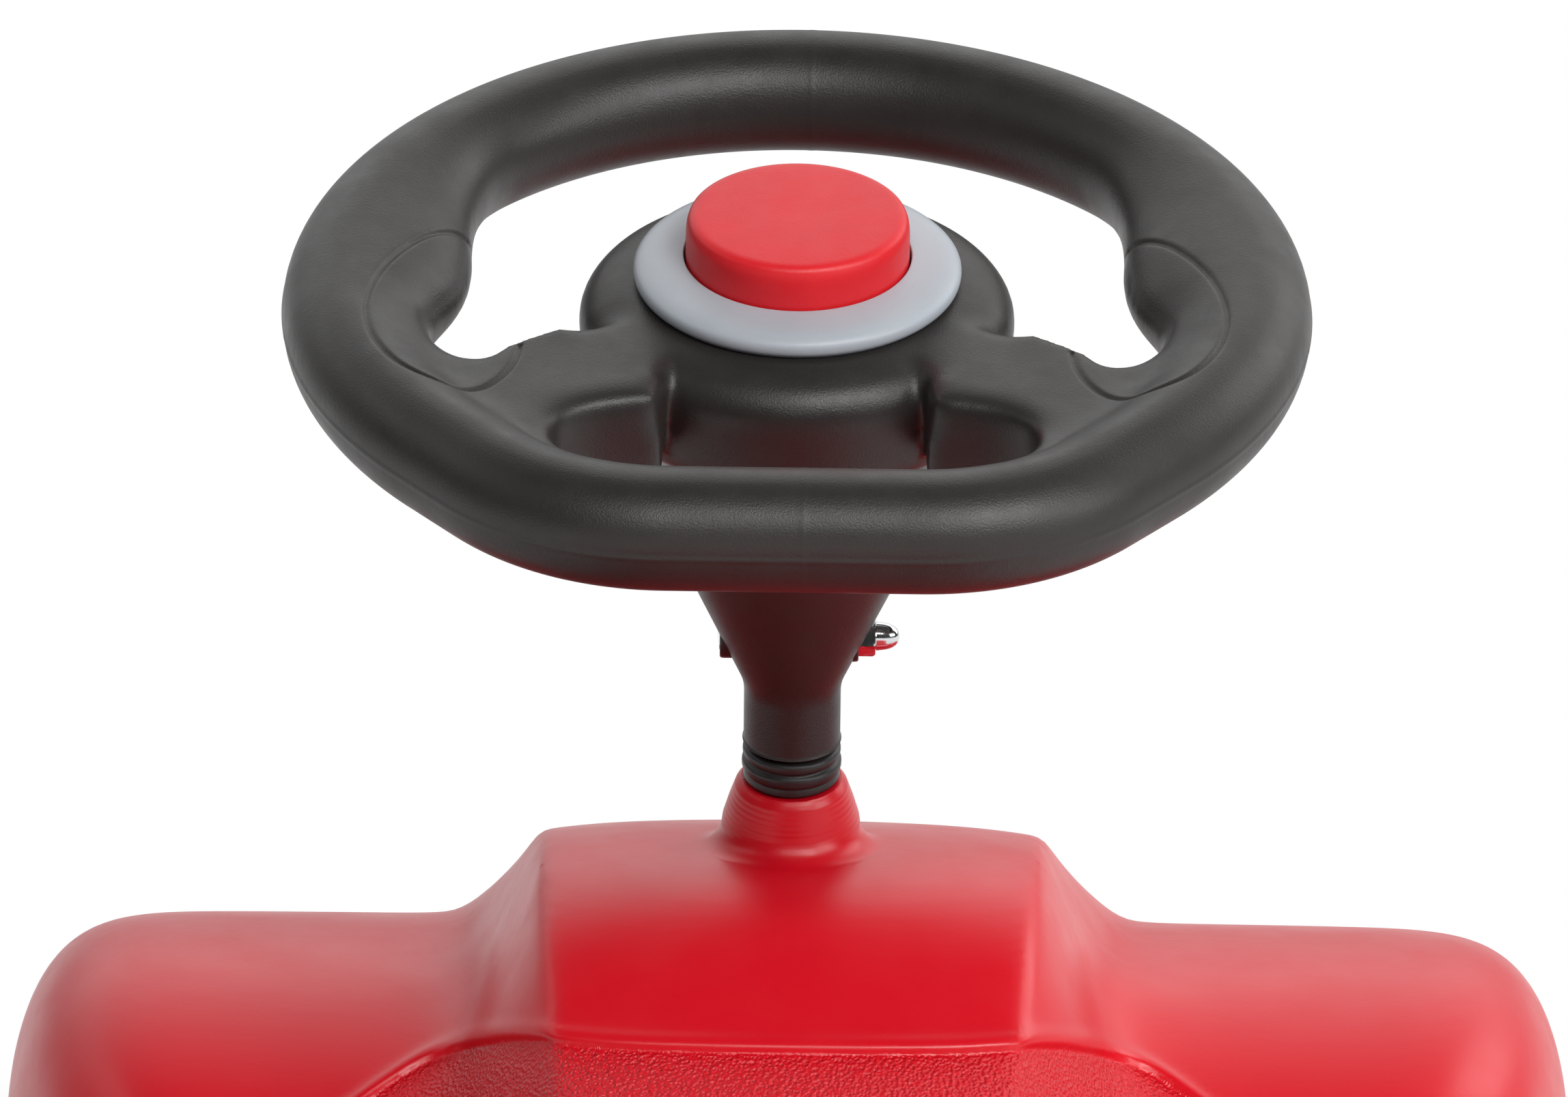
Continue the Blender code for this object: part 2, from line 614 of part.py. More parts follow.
# Steering wheel
def rim_outline(steps):
    """The rim's centre line: the taut loop round one large circle and two corner circles near the rider."""
    corner_y = RIM_CORNER_RADIUS - RIM_FLAT_DISTANCE
    reach = math.hypot(RIM_CORNER_OFFSET, corner_y)
    lean = math.degrees(math.atan2(corner_y, RIM_CORNER_OFFSET))
    join = lean + math.degrees(math.acos((RIM_RADIUS - RIM_CORNER_RADIUS) / reach))
    sweep = 180 - 2 * join
    corner_steps = max(2, round(steps * (90 + join) / 360))
    crown = arc((0, 0), RIM_RADIUS, join, join + sweep, round(steps * sweep / 360))
    left = arc((-RIM_CORNER_OFFSET, corner_y), RIM_CORNER_RADIUS, 180 - join, 270, corner_steps)
    right = arc((RIM_CORNER_OFFSET, corner_y), RIM_CORNER_RADIUS, -90, join, corner_steps)
    return crown + left + right


def tube_mesh(name, path, radius, sides):
    """A closed round tube along a plan loop."""
    bm = bmesh.new()
    loop = np.array(path)
    ahead = np.roll(loop, -1, 0) - np.roll(loop, 1, 0)
    out = np.stack([ahead[:, 1], -ahead[:, 0]], 1) / np.linalg.norm(ahead, axis=1)[:, None]
    rings = []
    for centre, normal in zip(loop, out):
        ring = []
        for k in range(sides):
            a = math.tau * k / sides
            across = centre + radius * math.cos(a) * normal
            ring.append(bm.verts.new((across[0], across[1], radius * math.sin(a))))
        rings.append(ring)
    for ring, other in zip(rings, rings[1:] + rings[:1]):
        for k in range(sides):
            bm.faces.new((ring[k], ring[(k + 1) % sides], other[(k + 1) % sides], other[k]))
    return finish_mesh(bm, name)


# One spoke in plan, on the rider's right: from the rim over the thumb lobe and along to the hub, then back
# round the end of the slot in front of the hub. Y is forwards from the middle of the rim.
LOBE_EDGE = RIM_RADIUS - RIM_TUBE_RADIUS - 0.0113
SPOKE_FAR = -0.0245
SPOKE_NEAR = -0.0440
SLOT_END = 0.0455
SLOT_NEAR = RIM_TUBE_RADIUS - RIM_FLAT_DISTANCE


def spoke_outline():
    slot_middle = (SPOKE_NEAR + SLOT_NEAR) / 2
    slot_radius = (SPOKE_NEAR - SLOT_NEAR) / 2
    slot_turn = arc((SLOT_END - slot_radius, slot_middle), slot_radius, 90, -60, 5)
    rim_side = arc((0, 0), RIM_RADIUS, -34, 27, 7)
    return [
        (LOBE_EDGE + 0.0020, 0.0400),
        (LOBE_EDGE, 0.0300),
        (LOBE_EDGE, 0.0120),
        (LOBE_EDGE + 0.0025, -0.0010),
        (LOBE_EDGE + 0.0060, -0.0110),
        (LOBE_EDGE + 0.0040, -0.0200),
        (LOBE_EDGE - 0.0030, SPOKE_FAR - 0.0030),
        (LOBE_EDGE - 0.0110, SPOKE_FAR - 0.0010),
        (HUB_RADIUS, SPOKE_FAR + 0.0080),
        (0.0240, -0.0160),
        (0.0200, -0.0300),
        (0.0260, SPOKE_NEAR + 0.0040),
        *slot_turn,
        (0.0400, SLOT_NEAR - 0.0080),
        (0.0600, -0.0610),
        *rim_side,
    ]


def hub_mesh():
    """Hub, cone and neck in one turned piece."""
    profile = [
        (0, HUB_TOP),
        (RING_RADIUS + 0.0010, HUB_TOP),
        (HUB_RADIUS - 0.0050, HUB_TOP - 0.0015),
        (HUB_RADIUS - 0.0010, HUB_TOP - 0.0055),
        (HUB_RADIUS, HUB_TOP - 0.0110),
        (HUB_RADIUS - 0.0015, HUB_TOP - 0.0165),
        (HUB_WALL_RADIUS + 0.0030, HUB_TOP - 0.0230),
        (HUB_WALL_RADIUS, HUB_TOP - 0.0290),
        (HUB_WALL_RADIUS, CONE_TOP),
        (NECK_RADIUS, CONE_END),
        (NECK_RADIUS, NECK_END + 0.001),
        (NECK_RADIUS - 0.001, NECK_END),
        (0, NECK_END),
    ]
    return lathe("hub", profile, 36, start=HUB_START)


# Start angles that keep the facets of one turned piece off the corners of the next.
HUB_START = math.radians(3.7)
BOSS_START = math.radians(4.3)
BOLT_START = math.radians(6.1)
POCKET_START = math.radians(8.3)
ROD_START = math.radians(5.2)


def bolt_bore(name):
    hole = cylinder(name, BOLT_RADIUS + FIT, -0.03, 0.03, 14, BOLT_START)
    made = add_object(name, hole, parent=steering_frame)
    made.location = (0, 0, BOLT_DROP)
    made.rotation_euler = (0, math.pi / 2, 0)
    return made


def build_steering_wheel():
    rim = tube_mesh("rim", rim_outline(52), RIM_TUBE_RADIUS, 10)
    wheel = add_object("steering_wheel", rim, BLACK_GRIP, steering_frame)
    for side, label in ((1, "right"), (-1, "left")):
        outline = [(side * x, y) for x, y in spoke_outline()]
        web = prism("spoke", outline, WEB_BOTTOM, WEB_TOP)
        cut(wheel, add_object(f"spoke_{label}", web, parent=steering_frame), "UNION")
    cut(wheel, add_object("hub", hub_mesh(), parent=steering_frame), "UNION")
    block = cylinder("bolt_boss", BOSS_RADIUS, -HEAD_BOSS_REACH, NUT_BOSS_REACH, 18, BOSS_START)
    boss = add_object("bolt_boss", block, parent=steering_frame)
    boss.location = (0, 0, BOLT_DROP)
    boss.rotation_euler = (0, math.pi / 2, 0)
    cut(wheel, boss, "UNION")
    cut(wheel, bolt_bore("boss_bore"))
    well = cylinder("horn_well", BUTTON_RADIUS + WELL_GAP, WELL_FLOOR, HUB_TOP + 0.01, 36)
    cut(wheel, add_object("horn_well", well, parent=steering_frame))
    rod_bore = cylinder("rod_bore", ROD_RADIUS + FIT, NECK_END - 0.01, WELL_FLOOR + 0.001, 20, ROD_START)
    cut(wheel, add_object("rod_bore", rod_bore, parent=steering_frame))
    head_room = cylinder("head_pocket", BOLT_HEAD_RADIUS + FIT, 0, 0.02, 18, POCKET_START)
    pocket = add_object("head_pocket", head_room, parent=steering_frame)
    pocket.location = (-HEAD_BOSS_REACH + BOLT_HEAD_HEIGHT, 0, BOLT_DROP)
    pocket.rotation_euler = (0, -math.pi / 2, 0)
    cut(wheel, pocket)
    nut_room = cylinder("nut_pocket", NUT_ACROSS_FLATS / math.sqrt(3) + FIT, 0, 0.02, 18, POCKET_START)
    seat = add_object("nut_pocket", nut_room, parent=steering_frame)
    seat.location = (NUT_SEAT, 0, BOLT_DROP)
    seat.rotation_euler = (0, math.pi / 2, 0)
    cut(wheel, seat)


def build_clamp():
    seat = HEAD_BOSS_REACH - BOLT_HEAD_HEIGHT + FIT
    end = NUT_SEAT + NUT_HEX_HEIGHT
    profile = [
        (0, seat + BOLT_HEAD_HEIGHT), (BOLT_HEAD_RADIUS * 0.8, seat + BOLT_HEAD_HEIGHT - 0.0004),
        (BOLT_HEAD_RADIUS, seat + BOLT_HEAD_HEIGHT - 0.0012), (BOLT_HEAD_RADIUS, seat), (BOLT_RADIUS, seat),
        (BOLT_RADIUS, -end), (0, -end),
    ]
    bolt = add_object("clamp_bolt", lathe("clamp_bolt", profile, 14), BRIGHT_STEEL, steering_frame)
    bolt.location = (0, 0, BOLT_DROP)
    bolt.rotation_euler = (0, -math.pi / 2, 0)
    nut = add_object("cap_nut", nut_mesh(), BRIGHT_STEEL, steering_frame)
    nut.location = (NUT_SEAT + FIT, 0, BOLT_DROP)
    nut.rotation_euler = (0, math.pi / 2, 0)


def nut_mesh():
    """A domed hexagon nut, blind-bored for the bolt. Local Z runs from its seat to its dome."""
    corner = NUT_ACROSS_FLATS / math.sqrt(3)
    bore = BOLT_RADIUS + FIT
    dome = NUT_ACROSS_FLATS * 0.46
    rise = NUT_HEIGHT - NUT_HEX_HEIGHT
    bm = bmesh.new()
    levels = [
        (bore, 0.0), (corner * 0.96, 0.0), (corner, 0.0004), (corner, NUT_HEX_HEIGHT - 0.0004),
        (corner * 0.94, NUT_HEX_HEIGHT),
    ]
    levels += [(dome * math.cos(a), NUT_HEX_HEIGHT + rise * math.sin(a)) for a in np.radians((0, 25, 50, 72))]
    rings = []
    for radius, height in levels:
        turns = [math.tau * k / 12 for k in range(12)]
        ring = [(radius * math.cos(a), radius * math.sin(a), height) for a in turns]
        if radius > dome and radius > bore:
            flat = math.cos(math.pi / 6)
            ring = [(x, y, z) if k % 2 == 0 else (x * flat, y * flat, z) for k, (x, y, z) in enumerate(ring)]
        rings.append([bm.verts.new(point) for point in ring])
    depth = NUT_HEX_HEIGHT + 0.0006
    blind = [bm.verts.new((v.co.x, v.co.y, depth)) for v in rings[0]]
    rings.insert(0, blind)
    for ring, other in zip(rings, rings[1:]):
        for k in range(12):
            bm.faces.new((ring[k], ring[(k + 1) % 12], other[(k + 1) % 12], other[k]))
    bm.faces.new(blind)
    bm.faces.new(rings[-1])
    return finish_mesh(bm, "cap_nut", 25)


# Horn
RING_TOP = HUB_TOP + RING_THICKNESS
BUTTON_SKIRT = HUB_TOP - BUTTON_TRAVEL - 0.0020
WELL_FLOOR = HUB_TOP - WELL_DEPTH
BASE_TOP = WELL_FLOOR + 0.004
BELLOWS_TOP = BUTTON_TOP - 0.0045


def build_horn():
    bore = BUTTON_RADIUS + RUNNING
    lip = BUTTON_RADIUS + WELL_GAP - FIT
    ring = [
        (RING_RADIUS - 0.0012, HUB_TOP + FIT), (RING_RADIUS, HUB_TOP + 0.0012),
        (RING_RADIUS - 0.0006, RING_TOP - 0.0006), (RING_RADIUS - 0.0030, RING_TOP),
        (bore, RING_TOP + 0.0006), (bore, HUB_TOP + FIT),
    ]
    ring.reverse()
    add_object("horn_ring", lathe("horn_ring", ring, 32, closed=True), GREY_RING, steering_frame)
    wall = 0.0025
    button = [
        (0, BUTTON_TOP), (BUTTON_RADIUS - 0.0040, BUTTON_TOP - 0.0002),
        (BUTTON_RADIUS - 0.0012, BUTTON_TOP - 0.0010), (BUTTON_RADIUS, BUTTON_TOP - 0.0028),
        (BUTTON_RADIUS, BUTTON_SKIRT), (BUTTON_RADIUS - wall, BUTTON_SKIRT),
        (BUTTON_RADIUS - wall, BUTTON_TOP - 0.0042), (0, BUTTON_TOP - 0.0042),
    ]
    add_object("horn_button", lathe("horn_button", button, 32), RED_BUTTON, steering_frame)
    spigot = SPIGOT_RADIUS - 0.002
    base = [(lip, BASE_TOP), (lip, WELL_FLOOR + FIT), (spigot, WELL_FLOOR + FIT), (spigot, BASE_TOP)]
    add_object("horn_base", lathe("horn_base", base, 28, closed=True), BLACK_BUSH, steering_frame)
    add_object("horn_bellows", bellows_mesh(), HORN_RUBBER, steering_frame)
    reed_top = BASE_TOP + 0.006
    reed_foot = WELL_FLOOR + 0.0012
    reed = [(0, reed_top), (spigot - FIT, reed_top), (spigot - FIT, reed_foot), (0, reed_foot)]
    add_object("horn_reed", lathe("horn_reed", reed, 14), GREY_RING, steering_frame)


def bellows_mesh():
    """A squeeze bellows standing on the horn's base, open at its foot round the reed."""
    low = BASE_TOP + FIT
    pitch = (BELLOWS_TOP - low) / (2 * BELLOWS_RIBS)
    wall = 0.0015
    outer = [(0, BELLOWS_TOP), (BELLOWS_RADIUS - 0.003, BELLOWS_TOP)]
    inner = [(0, BELLOWS_TOP - wall), (BELLOWS_RADIUS - 0.003 - wall, BELLOWS_TOP - wall)]
    for k in range(1, 2 * BELLOWS_RIBS):
        swell = 0.0 if k % 2 else 0.003
        height = BELLOWS_TOP - k * pitch
        outer.append((BELLOWS_RADIUS - swell, height))
        inner.append((BELLOWS_RADIUS - swell - wall, height))
    outer.append((BELLOWS_RADIUS - 0.003, low))
    inner.append((BELLOWS_RADIUS - 0.003 - wall, low))
    return lathe("horn_bellows", outer + inner[::-1], 16)


build_body()
build_column()
build_axles()
build_wheels()
build_steering_wheel()
build_clamp()
build_horn()
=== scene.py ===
import math

import bmesh
import bpy
import numpy as np
from mathutils import Matrix, Vector


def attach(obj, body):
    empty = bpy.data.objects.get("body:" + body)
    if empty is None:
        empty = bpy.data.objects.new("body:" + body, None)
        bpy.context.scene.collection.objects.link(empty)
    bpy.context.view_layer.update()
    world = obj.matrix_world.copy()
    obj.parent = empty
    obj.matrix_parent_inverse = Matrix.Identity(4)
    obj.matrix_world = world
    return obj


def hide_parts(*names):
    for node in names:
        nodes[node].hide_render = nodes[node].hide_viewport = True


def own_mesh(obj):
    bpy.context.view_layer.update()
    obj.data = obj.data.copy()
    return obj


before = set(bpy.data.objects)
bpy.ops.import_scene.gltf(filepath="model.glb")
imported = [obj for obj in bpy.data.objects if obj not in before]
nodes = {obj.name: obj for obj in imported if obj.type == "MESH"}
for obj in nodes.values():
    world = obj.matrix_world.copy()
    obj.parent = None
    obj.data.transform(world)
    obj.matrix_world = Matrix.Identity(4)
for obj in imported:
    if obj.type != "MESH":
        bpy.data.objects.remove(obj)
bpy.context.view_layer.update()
print("frame:", len(nodes), "nodes")


def placed(at, turn, axis):
    return Matrix.Translation(at) @ Matrix.Rotation(turn, 4, axis)


def lampPlace(side):  # local Z out of the lamp
    return placed((side * lamp["x"], lamp["y"], lamp["z"]), -math.pi / 2, "X")


# where the steering wheel, the axles and the lamps are, as in the solids
column = dict(rake=math.radians(15), swing=math.radians(20), axleY=0.175, axleZ=0.060, rimZ=0.365)
column["rimY"] = column["axleY"] - (column["rimZ"] - column["axleZ"]) * math.tan(column["rake"])
wheelPlace = placed((0, column["rimY"], column["rimZ"]), column["rake"], "X")
road = dict(frontY=column["axleY"], rearY=-0.190, height=column["axleZ"], track=0.106, width=0.042)
lamp = dict(x=0.090, y=0.285, z=0.156, housing=0.0275, room=0.0233)

# shading helpers


def newFinish(name):
    finish = bpy.data.materials.new(name)
    finish.use_nodes = True
    return finish, finish.node_tree, finish.node_tree.nodes["Principled BSDF"]


def addNode(tree, kind, values=None, **settings):
    node = tree.nodes.new(kind)
    for key, value in settings.items():
        setattr(node, key, value)
    for key, value in (values or {}).items():
        node.inputs[key].default_value = value
    return node


def wire(tree, start, end):
    tree.links.new(start, end)


def combine(tree, operation, *terms):  # a sum on sockets and plain numbers
    node = addNode(tree, "ShaderNodeMath", operation=operation)
    for socket, term in zip(node.inputs, terms):
        if isinstance(term, float):
            socket.default_value = term
        else:
            wire(tree, term, socket)
    return node.outputs["Value"]


def noiseAt(tree, coords, scale, detail=3.0, rough=0.5, stretch=None):
    vector = coords
    if stretch:
        mapping = addNode(tree, "ShaderNodeMapping", {"Scale": stretch})
        wire(tree, coords, mapping.inputs["Vector"])
        vector = mapping.outputs["Vector"]
    node = addNode(tree, "ShaderNodeTexNoise", {"Scale": scale, "Detail": detail, "Roughness": rough})
    wire(tree, vector, node.inputs["Vector"])
    return node.outputs["Fac"]


def spread(tree, value, low, high, fromLow=0.3, fromHigh=0.7):
    ends = {"From Min": fromLow, "From Max": fromHigh, "To Min": low, "To Max": high}
    node = addNode(tree, "ShaderNodeMapRange", ends)
    wire(tree, value, node.inputs["Value"])
    return node.outputs["Result"]


def tint(tree, coords, look, shader):  # the colour drifts slowly between two shades
    node = addNode(tree, "ShaderNodeMix", data_type="RGBA")
    node.inputs["A"].default_value = (*look["colour"], 1)
    node.inputs["B"].default_value = (*look["shade"], 1)
    wire(tree, spread(tree, noiseAt(tree, coords, look["cloud"], 4), 0, 1), node.inputs["Factor"])
    wire(tree, node.outputs["Result"], shader.inputs["Base Color"])


def bumpOn(tree, height, distance, before=None):
    node = addNode(tree, "ShaderNodeBump", {"Strength": 1.0, "Distance": distance})
    wire(tree, height, node.inputs["Height"])
    if before:
        wire(tree, before, node.inputs["Normal"])
    return node.outputs["Normal"]


def mouldedFinish(name, look):
    finish, tree, shader = newFinish(name)
    coords = addNode(tree, "ShaderNodeTexCoord").outputs["Object"]
    tint(tree, coords, look, shader)
    scuff = noiseAt(tree, coords, look["scuff"], 5, 0.65, look.get("scuffStretch"))
    wire(tree, spread(tree, scuff, *look["rough"]), shader.inputs["Roughness"])
    grain = noiseAt(tree, coords, look["grain"], 2, 0.6)
    wire(tree, bumpOn(tree, grain, look["grainDepth"]), shader.inputs["Normal"])
    shader.inputs["Metallic"].default_value = look.get("metallic", 0.0)
    return finish


finishes = {
    "grip": mouldedFinish("gripBlack", dict(
        colour=(0.019, 0.0165, 0.0155), shade=(0.025, 0.022, 0.0205), cloud=25, scuff=120,
        rough=(0.37, 0.47), grain=2600, grainDepth=0.00007)),
    "bush": mouldedFinish("bushBlack", dict(
        colour=(0.012, 0.011, 0.011), shade=(0.020, 0.018, 0.018), cloud=60, scuff=220, rough=(0.34, 0.46),
        grain=3000, grainDepth=0.00003)),
    "ring": mouldedFinish("ringGrey", dict(
        colour=(0.405, 0.440, 0.485), shade=(0.445, 0.480, 0.520), cloud=50, scuff=160, rough=(0.34, 0.44),
        grain=2600, grainDepth=0.00003)),
    "button": mouldedFinish("buttonRed", dict(
        colour=(0.76, 0.012, 0.020), shade=(0.70, 0.010, 0.018), cloud=60, scuff=180, rough=(0.40, 0.50),
        grain=2400, grainDepth=0.00004)),
    "brightSteel": mouldedFinish("nutChrome", dict(
        colour=(0.78, 0.80, 0.82), shade=(0.70, 0.71, 0.72), cloud=300, scuff=500, rough=(0.08, 0.20),
        grain=1800, grainDepth=0.00001, metallic=1.0)),
    "dullSteel": mouldedFinish("barSteel", dict(
        colour=(0.46, 0.47, 0.48), shade=(0.36, 0.36, 0.36), cloud=70, scuff=900, rough=(0.28, 0.46),
        scuffStretch=(0.04, 1, 1), grain=2200, grainDepth=0.00002, metallic=1.0)),
    "tyre": mouldedFinish("tyreRubber", dict(
        colour=(0.018, 0.018, 0.018), shade=(0.040, 0.038, 0.036), cloud=45, scuff=160, rough=(0.60, 0.82),
        grain=1500, grainDepth=0.00010)),
    "disc": mouldedFinish("discBlack", dict(
        colour=(0.024, 0.023, 0.023), shade=(0.034, 0.032, 0.031), cloud=40, scuff=140, rough=(0.40, 0.55),
        grain=2200, grainDepth=0.00005)),
    "cap": mouldedFinish("capGrey", dict(
        colour=(0.48, 0.50, 0.53), shade=(0.55, 0.57, 0.60), cloud=40, scuff=160, rough=(0.28, 0.40),
        grain=2200, grainDepth=0.00002)),
    "bellows": mouldedFinish("bellowsRubber", dict(
        colour=(0.52, 0.49, 0.41), shade=(0.60, 0.56, 0.47), cloud=80, scuff=200, rough=(0.55, 0.70),
        grain=1600, grainDepth=0.00005)),
    "lens": mouldedFinish("lensWhite", dict(
        colour=(0.80, 0.81, 0.80), shade=(0.74, 0.75, 0.75), cloud=60, scuff=200, rough=(0.12, 0.22),
        grain=900, grainDepth=0.00003)),
}


def shellFinish(look):  # red shell: smooth, with a pebbled seat where the "seat" attribute is 1
    finish, tree, shader = newFinish("shellRed")
    coords = addNode(tree, "ShaderNodeTexCoord").outputs["Object"]
    tint(tree, coords, look, shader)
    seat = addNode(tree, "ShaderNodeAttribute", attribute_name="seat").outputs["Fac"]
    turned = addNode(tree, "ShaderNodeAttribute", attribute_name="turned").outputs["Fac"]
    noise = addNode(tree, "ShaderNodeTexNoise", {"Scale": look["pebble"] * 0.8, "Detail": 2.0})
    wire(tree, coords, noise.inputs["Vector"])
    wobble = addNode(tree, "ShaderNodeMix", {"Factor": look["pebbleWobble"]}, data_type="VECTOR")
    wire(tree, coords, wobble.inputs["A"])
    wire(tree, noise.outputs["Color"], wobble.inputs["B"])
    pebbles = {"Scale": look["pebble"], "Randomness": 1.0, "Smoothness": 0.6}
    pebble = addNode(tree, "ShaderNodeTexVoronoi", pebbles, feature="SMOOTH_F1")
    wire(tree, wobble.outputs["Result"], pebble.inputs["Vector"])
    skin = bumpOn(tree, noiseAt(tree, coords, look["skin"], 2, 0.6), look["skinDepth"])
    grain = combine(tree, "MULTIPLY", pebble.outputs["Distance"], seat)
    grained = bumpOn(tree, grain, look["pebbleDepth"], skin)
    along = addNode(tree, "ShaderNodeVectorMath", {1: look["columnAxis"]}, operation="DOT_PRODUCT")
    wire(tree, coords, along.inputs[0])
    turns = combine(tree, "MULTIPLY", along.outputs["Value"], math.tau / look["turnPitch"])
    ridges = combine(tree, "MULTIPLY", combine(tree, "SINE", turns), turned)
    wire(tree, bumpOn(tree, ridges, look["turnDepth"], grained), shader.inputs["Normal"])
    scuff = spread(tree, noiseAt(tree, coords, look["scuff"], 5, 0.65), *look["rough"])
    wire(tree, combine(tree, "MULTIPLY_ADD", seat, look["seatRougher"], scuff), shader.inputs["Roughness"])
    return finish


finishes["shell"] = shellFinish(dict(
    colour=(0.70, 0.0030, 0.0140), shade=(0.66, 0.0025, 0.0125), cloud=14, scuff=70, rough=(0.30, 0.38),
    skin=900, skinDepth=0.00002, pebble=1350, pebbleWobble=0.0005, pebbleDepth=0.0006, seatRougher=0.10,
    columnAxis=(0, -math.sin(column["rake"]), math.cos(column["rake"])), turnPitch=0.0011,
    turnDepth=0.000012))
print("finishes:", len(finishes))

# mesh helpers


def softened(points, steps=5):  # (radius, height, rounding) corners to a line with rounded corners
    out = []
    for i, (x, y, ease) in enumerate(points):
        if ease == 0 or i in (0, len(points) - 1):
            out.append((x, y))
            continue
        here = np.array((x, y))
        back = np.array(points[i - 1][:2]) - here
        ahead = np.array(points[i + 1][:2]) - here
        start = here + back / np.linalg.norm(back) * min(ease, np.linalg.norm(back) * 0.48)
        end = here + ahead / np.linalg.norm(ahead) * min(ease, np.linalg.norm(ahead) * 0.48)
        for t in np.linspace(0, 1, steps + 1):
            out.append(tuple((1 - t) ** 2 * start + 2 * t * (1 - t) * here + t * t * end))
    return out


def meshFrom(bm, name, sharp=40):
    bmesh.ops.remove_doubles(bm, verts=bm.verts, dist=1e-6)
    bmesh.ops.recalc_face_normals(bm, faces=bm.faces)
    mesh = bpy.data.meshes.new(name)
    bm.to_mesh(mesh)
    bm.free()
    mesh.shade_smooth()
    mesh.set_sharp_from_angle(angle=math.radians(sharp))
    return mesh


def turnedMesh(name, profile, steps, closed=False, sharp=40):
    bm = bmesh.new()
    points = [bm.verts.new((r, 0, z)) for r, z in profile]
    ends = points[1:] + points[:1] if closed else points[1:]
    edges = [bm.edges.new(pair) for pair in zip(points, ends)]
    turn = dict(cent=(0, 0, 0), axis=(0, 0, 1), angle=math.tau, steps=steps, use_merge=True)
    bmesh.ops.spin(bm, geom=points + edges, **turn)
    return meshFrom(bm, name, sharp)


def plugMesh(radius, top, foot, steps, place=None):  # plain round cutter
    mesh = turnedMesh("plug", [(0, top), (radius, top), (radius, foot), (0, foot)], steps)
    if place is not None:
        mesh.transform(place)
    return mesh


def skinRings(bm, rings, closed=False):  # faces from each ring of points to the next
    for ring, other in zip(rings, rings[1:] + rings[:closed]):
        for k in range(len(ring)):
            j = (k + 1) % len(ring)
            bm.faces.new((ring[k], ring[j], other[j], other[k]))


def prismMesh(name, outline, low, high, ease, easeSteps=4):  # plan outline, its edges rounded
    bm = bmesh.new()
    face = bm.faces.new([bm.verts.new((x, y, low)) for x, y in outline])
    grown = bmesh.ops.extrude_face_region(bm, geom=[face])
    tops = [item for item in grown["geom"] if isinstance(item, bmesh.types.BMVert)]
    bmesh.ops.translate(bm, verts=tops, vec=(0, 0, high - low))
    if ease:
        rims = [e for e in bm.edges if abs(e.verts[0].co.z - e.verts[1].co.z) < 1e-7]
        bmesh.ops.bevel(
            bm, geom=rims, offset=ease, segments=easeSteps, profile=0.5, affect="EDGES", clamp_overlap=True)
    return meshFrom(bm, name)


def addObject(name, data):
    added = bpy.data.objects.new(name, data)
    bpy.context.scene.collection.objects.link(added)
    return added


def showPiece(name, mesh, finish, body, node=None, place=None):
    if place is not None:
        mesh.transform(place)
    piece = addObject(name, mesh)
    mesh.materials.clear()
    mesh.materials.append(finish)
    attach(piece, body)
    for one in ([node] if isinstance(node, str) else node or []):
        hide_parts(one)
    return piece


def bakedMesh(name, mesh, *recipe):  # (modifier kind, settings) applied to a mesh in turn
    carrier = addObject(name, mesh)
    for kind, settings in recipe:
        modifier = carrier.modifiers.new(kind.lower(), kind)
        for key, value in settings.items():
            setattr(modifier, key, value)
    bpy.context.view_layer.update()
    baked = bpy.data.meshes.new_from_object(carrier.evaluated_get(bpy.context.evaluated_depsgraph_get()))
    bpy.data.objects.remove(carrier)
    baked.name = name
    return baked


def joinedMesh(name, meshes):
    bm = bmesh.new()
    for mesh in meshes:
        bm.from_mesh(mesh)
    joined = bpy.data.meshes.new(name)
    bm.to_mesh(joined)
    bm.free()
    return joined


def fusedMesh(name, parts, size):  # parts made one by a fine remesh, then eased
    return bakedMesh(
        name, joinedMesh(name, parts), ("REMESH", dict(mode="VOXEL", voxel_size=size["voxel"])),
        ("SMOOTH", dict(factor=0.5, iterations=size["easing"])))


def arc(centre, radius, start, end, steps):
    angles = np.radians(np.linspace(start, end, steps + 1))
    return [(centre[0] + radius * math.cos(a), centre[1] + radius * math.sin(a)) for a in angles]


def cutCorners(first, second):
    return np.stack([0.75 * first + 0.25 * second, 0.25 * first + 0.75 * second], 1).reshape(-1, 2)


def smoothLoop(points, rounds):  # corner cutting on a closed loop
    loop = np.array(points, float)
    for _ in range(rounds):
        loop = cutCorners(loop, np.roll(loop, -1, 0))
    return loop


def smoothPath(points, rounds):  # corner cutting on an open line, ends kept
    path = np.array(points, float)
    for _ in range(rounds):
        path = np.vstack([path[:1], cutCorners(path[:-1], path[1:]), path[-1:]])
    return path


def smoothLine(points, at):  # value at a place on a smooth curve through (place, value) points
    xs, values = (np.array(one, float) for one in zip(*points))
    slopes = np.gradient(values, xs)
    i = int(np.clip(np.searchsorted(xs, at) - 1, 0, len(xs) - 2))
    span = xs[i + 1] - xs[i]
    t = (at - xs[i]) / span
    left = (1 + 2 * t) * (1 - t) ** 2 * values[i] + t * (1 - t) ** 2 * span * slopes[i]
    right = t * t * (3 - 2 * t) * values[i + 1] - t * t * (1 - t) * span * slopes[i + 1]
    return left + right


def distanceTo(points, path, closed=False):  # plan distance from each point to a polyline
    starts = path if closed else path[:-1]
    ends = np.roll(path, -1, 0) if closed else path[1:]
    best = np.full(len(points), 1e9)
    for a, b in zip(starts, ends):
        along = b - a
        t = np.clip(((points - a) @ along) / max(along @ along, 1e-18), 0, 1)
        best = np.minimum(best, np.linalg.norm(points - a - t[:, None] * along, axis=1))
    return best


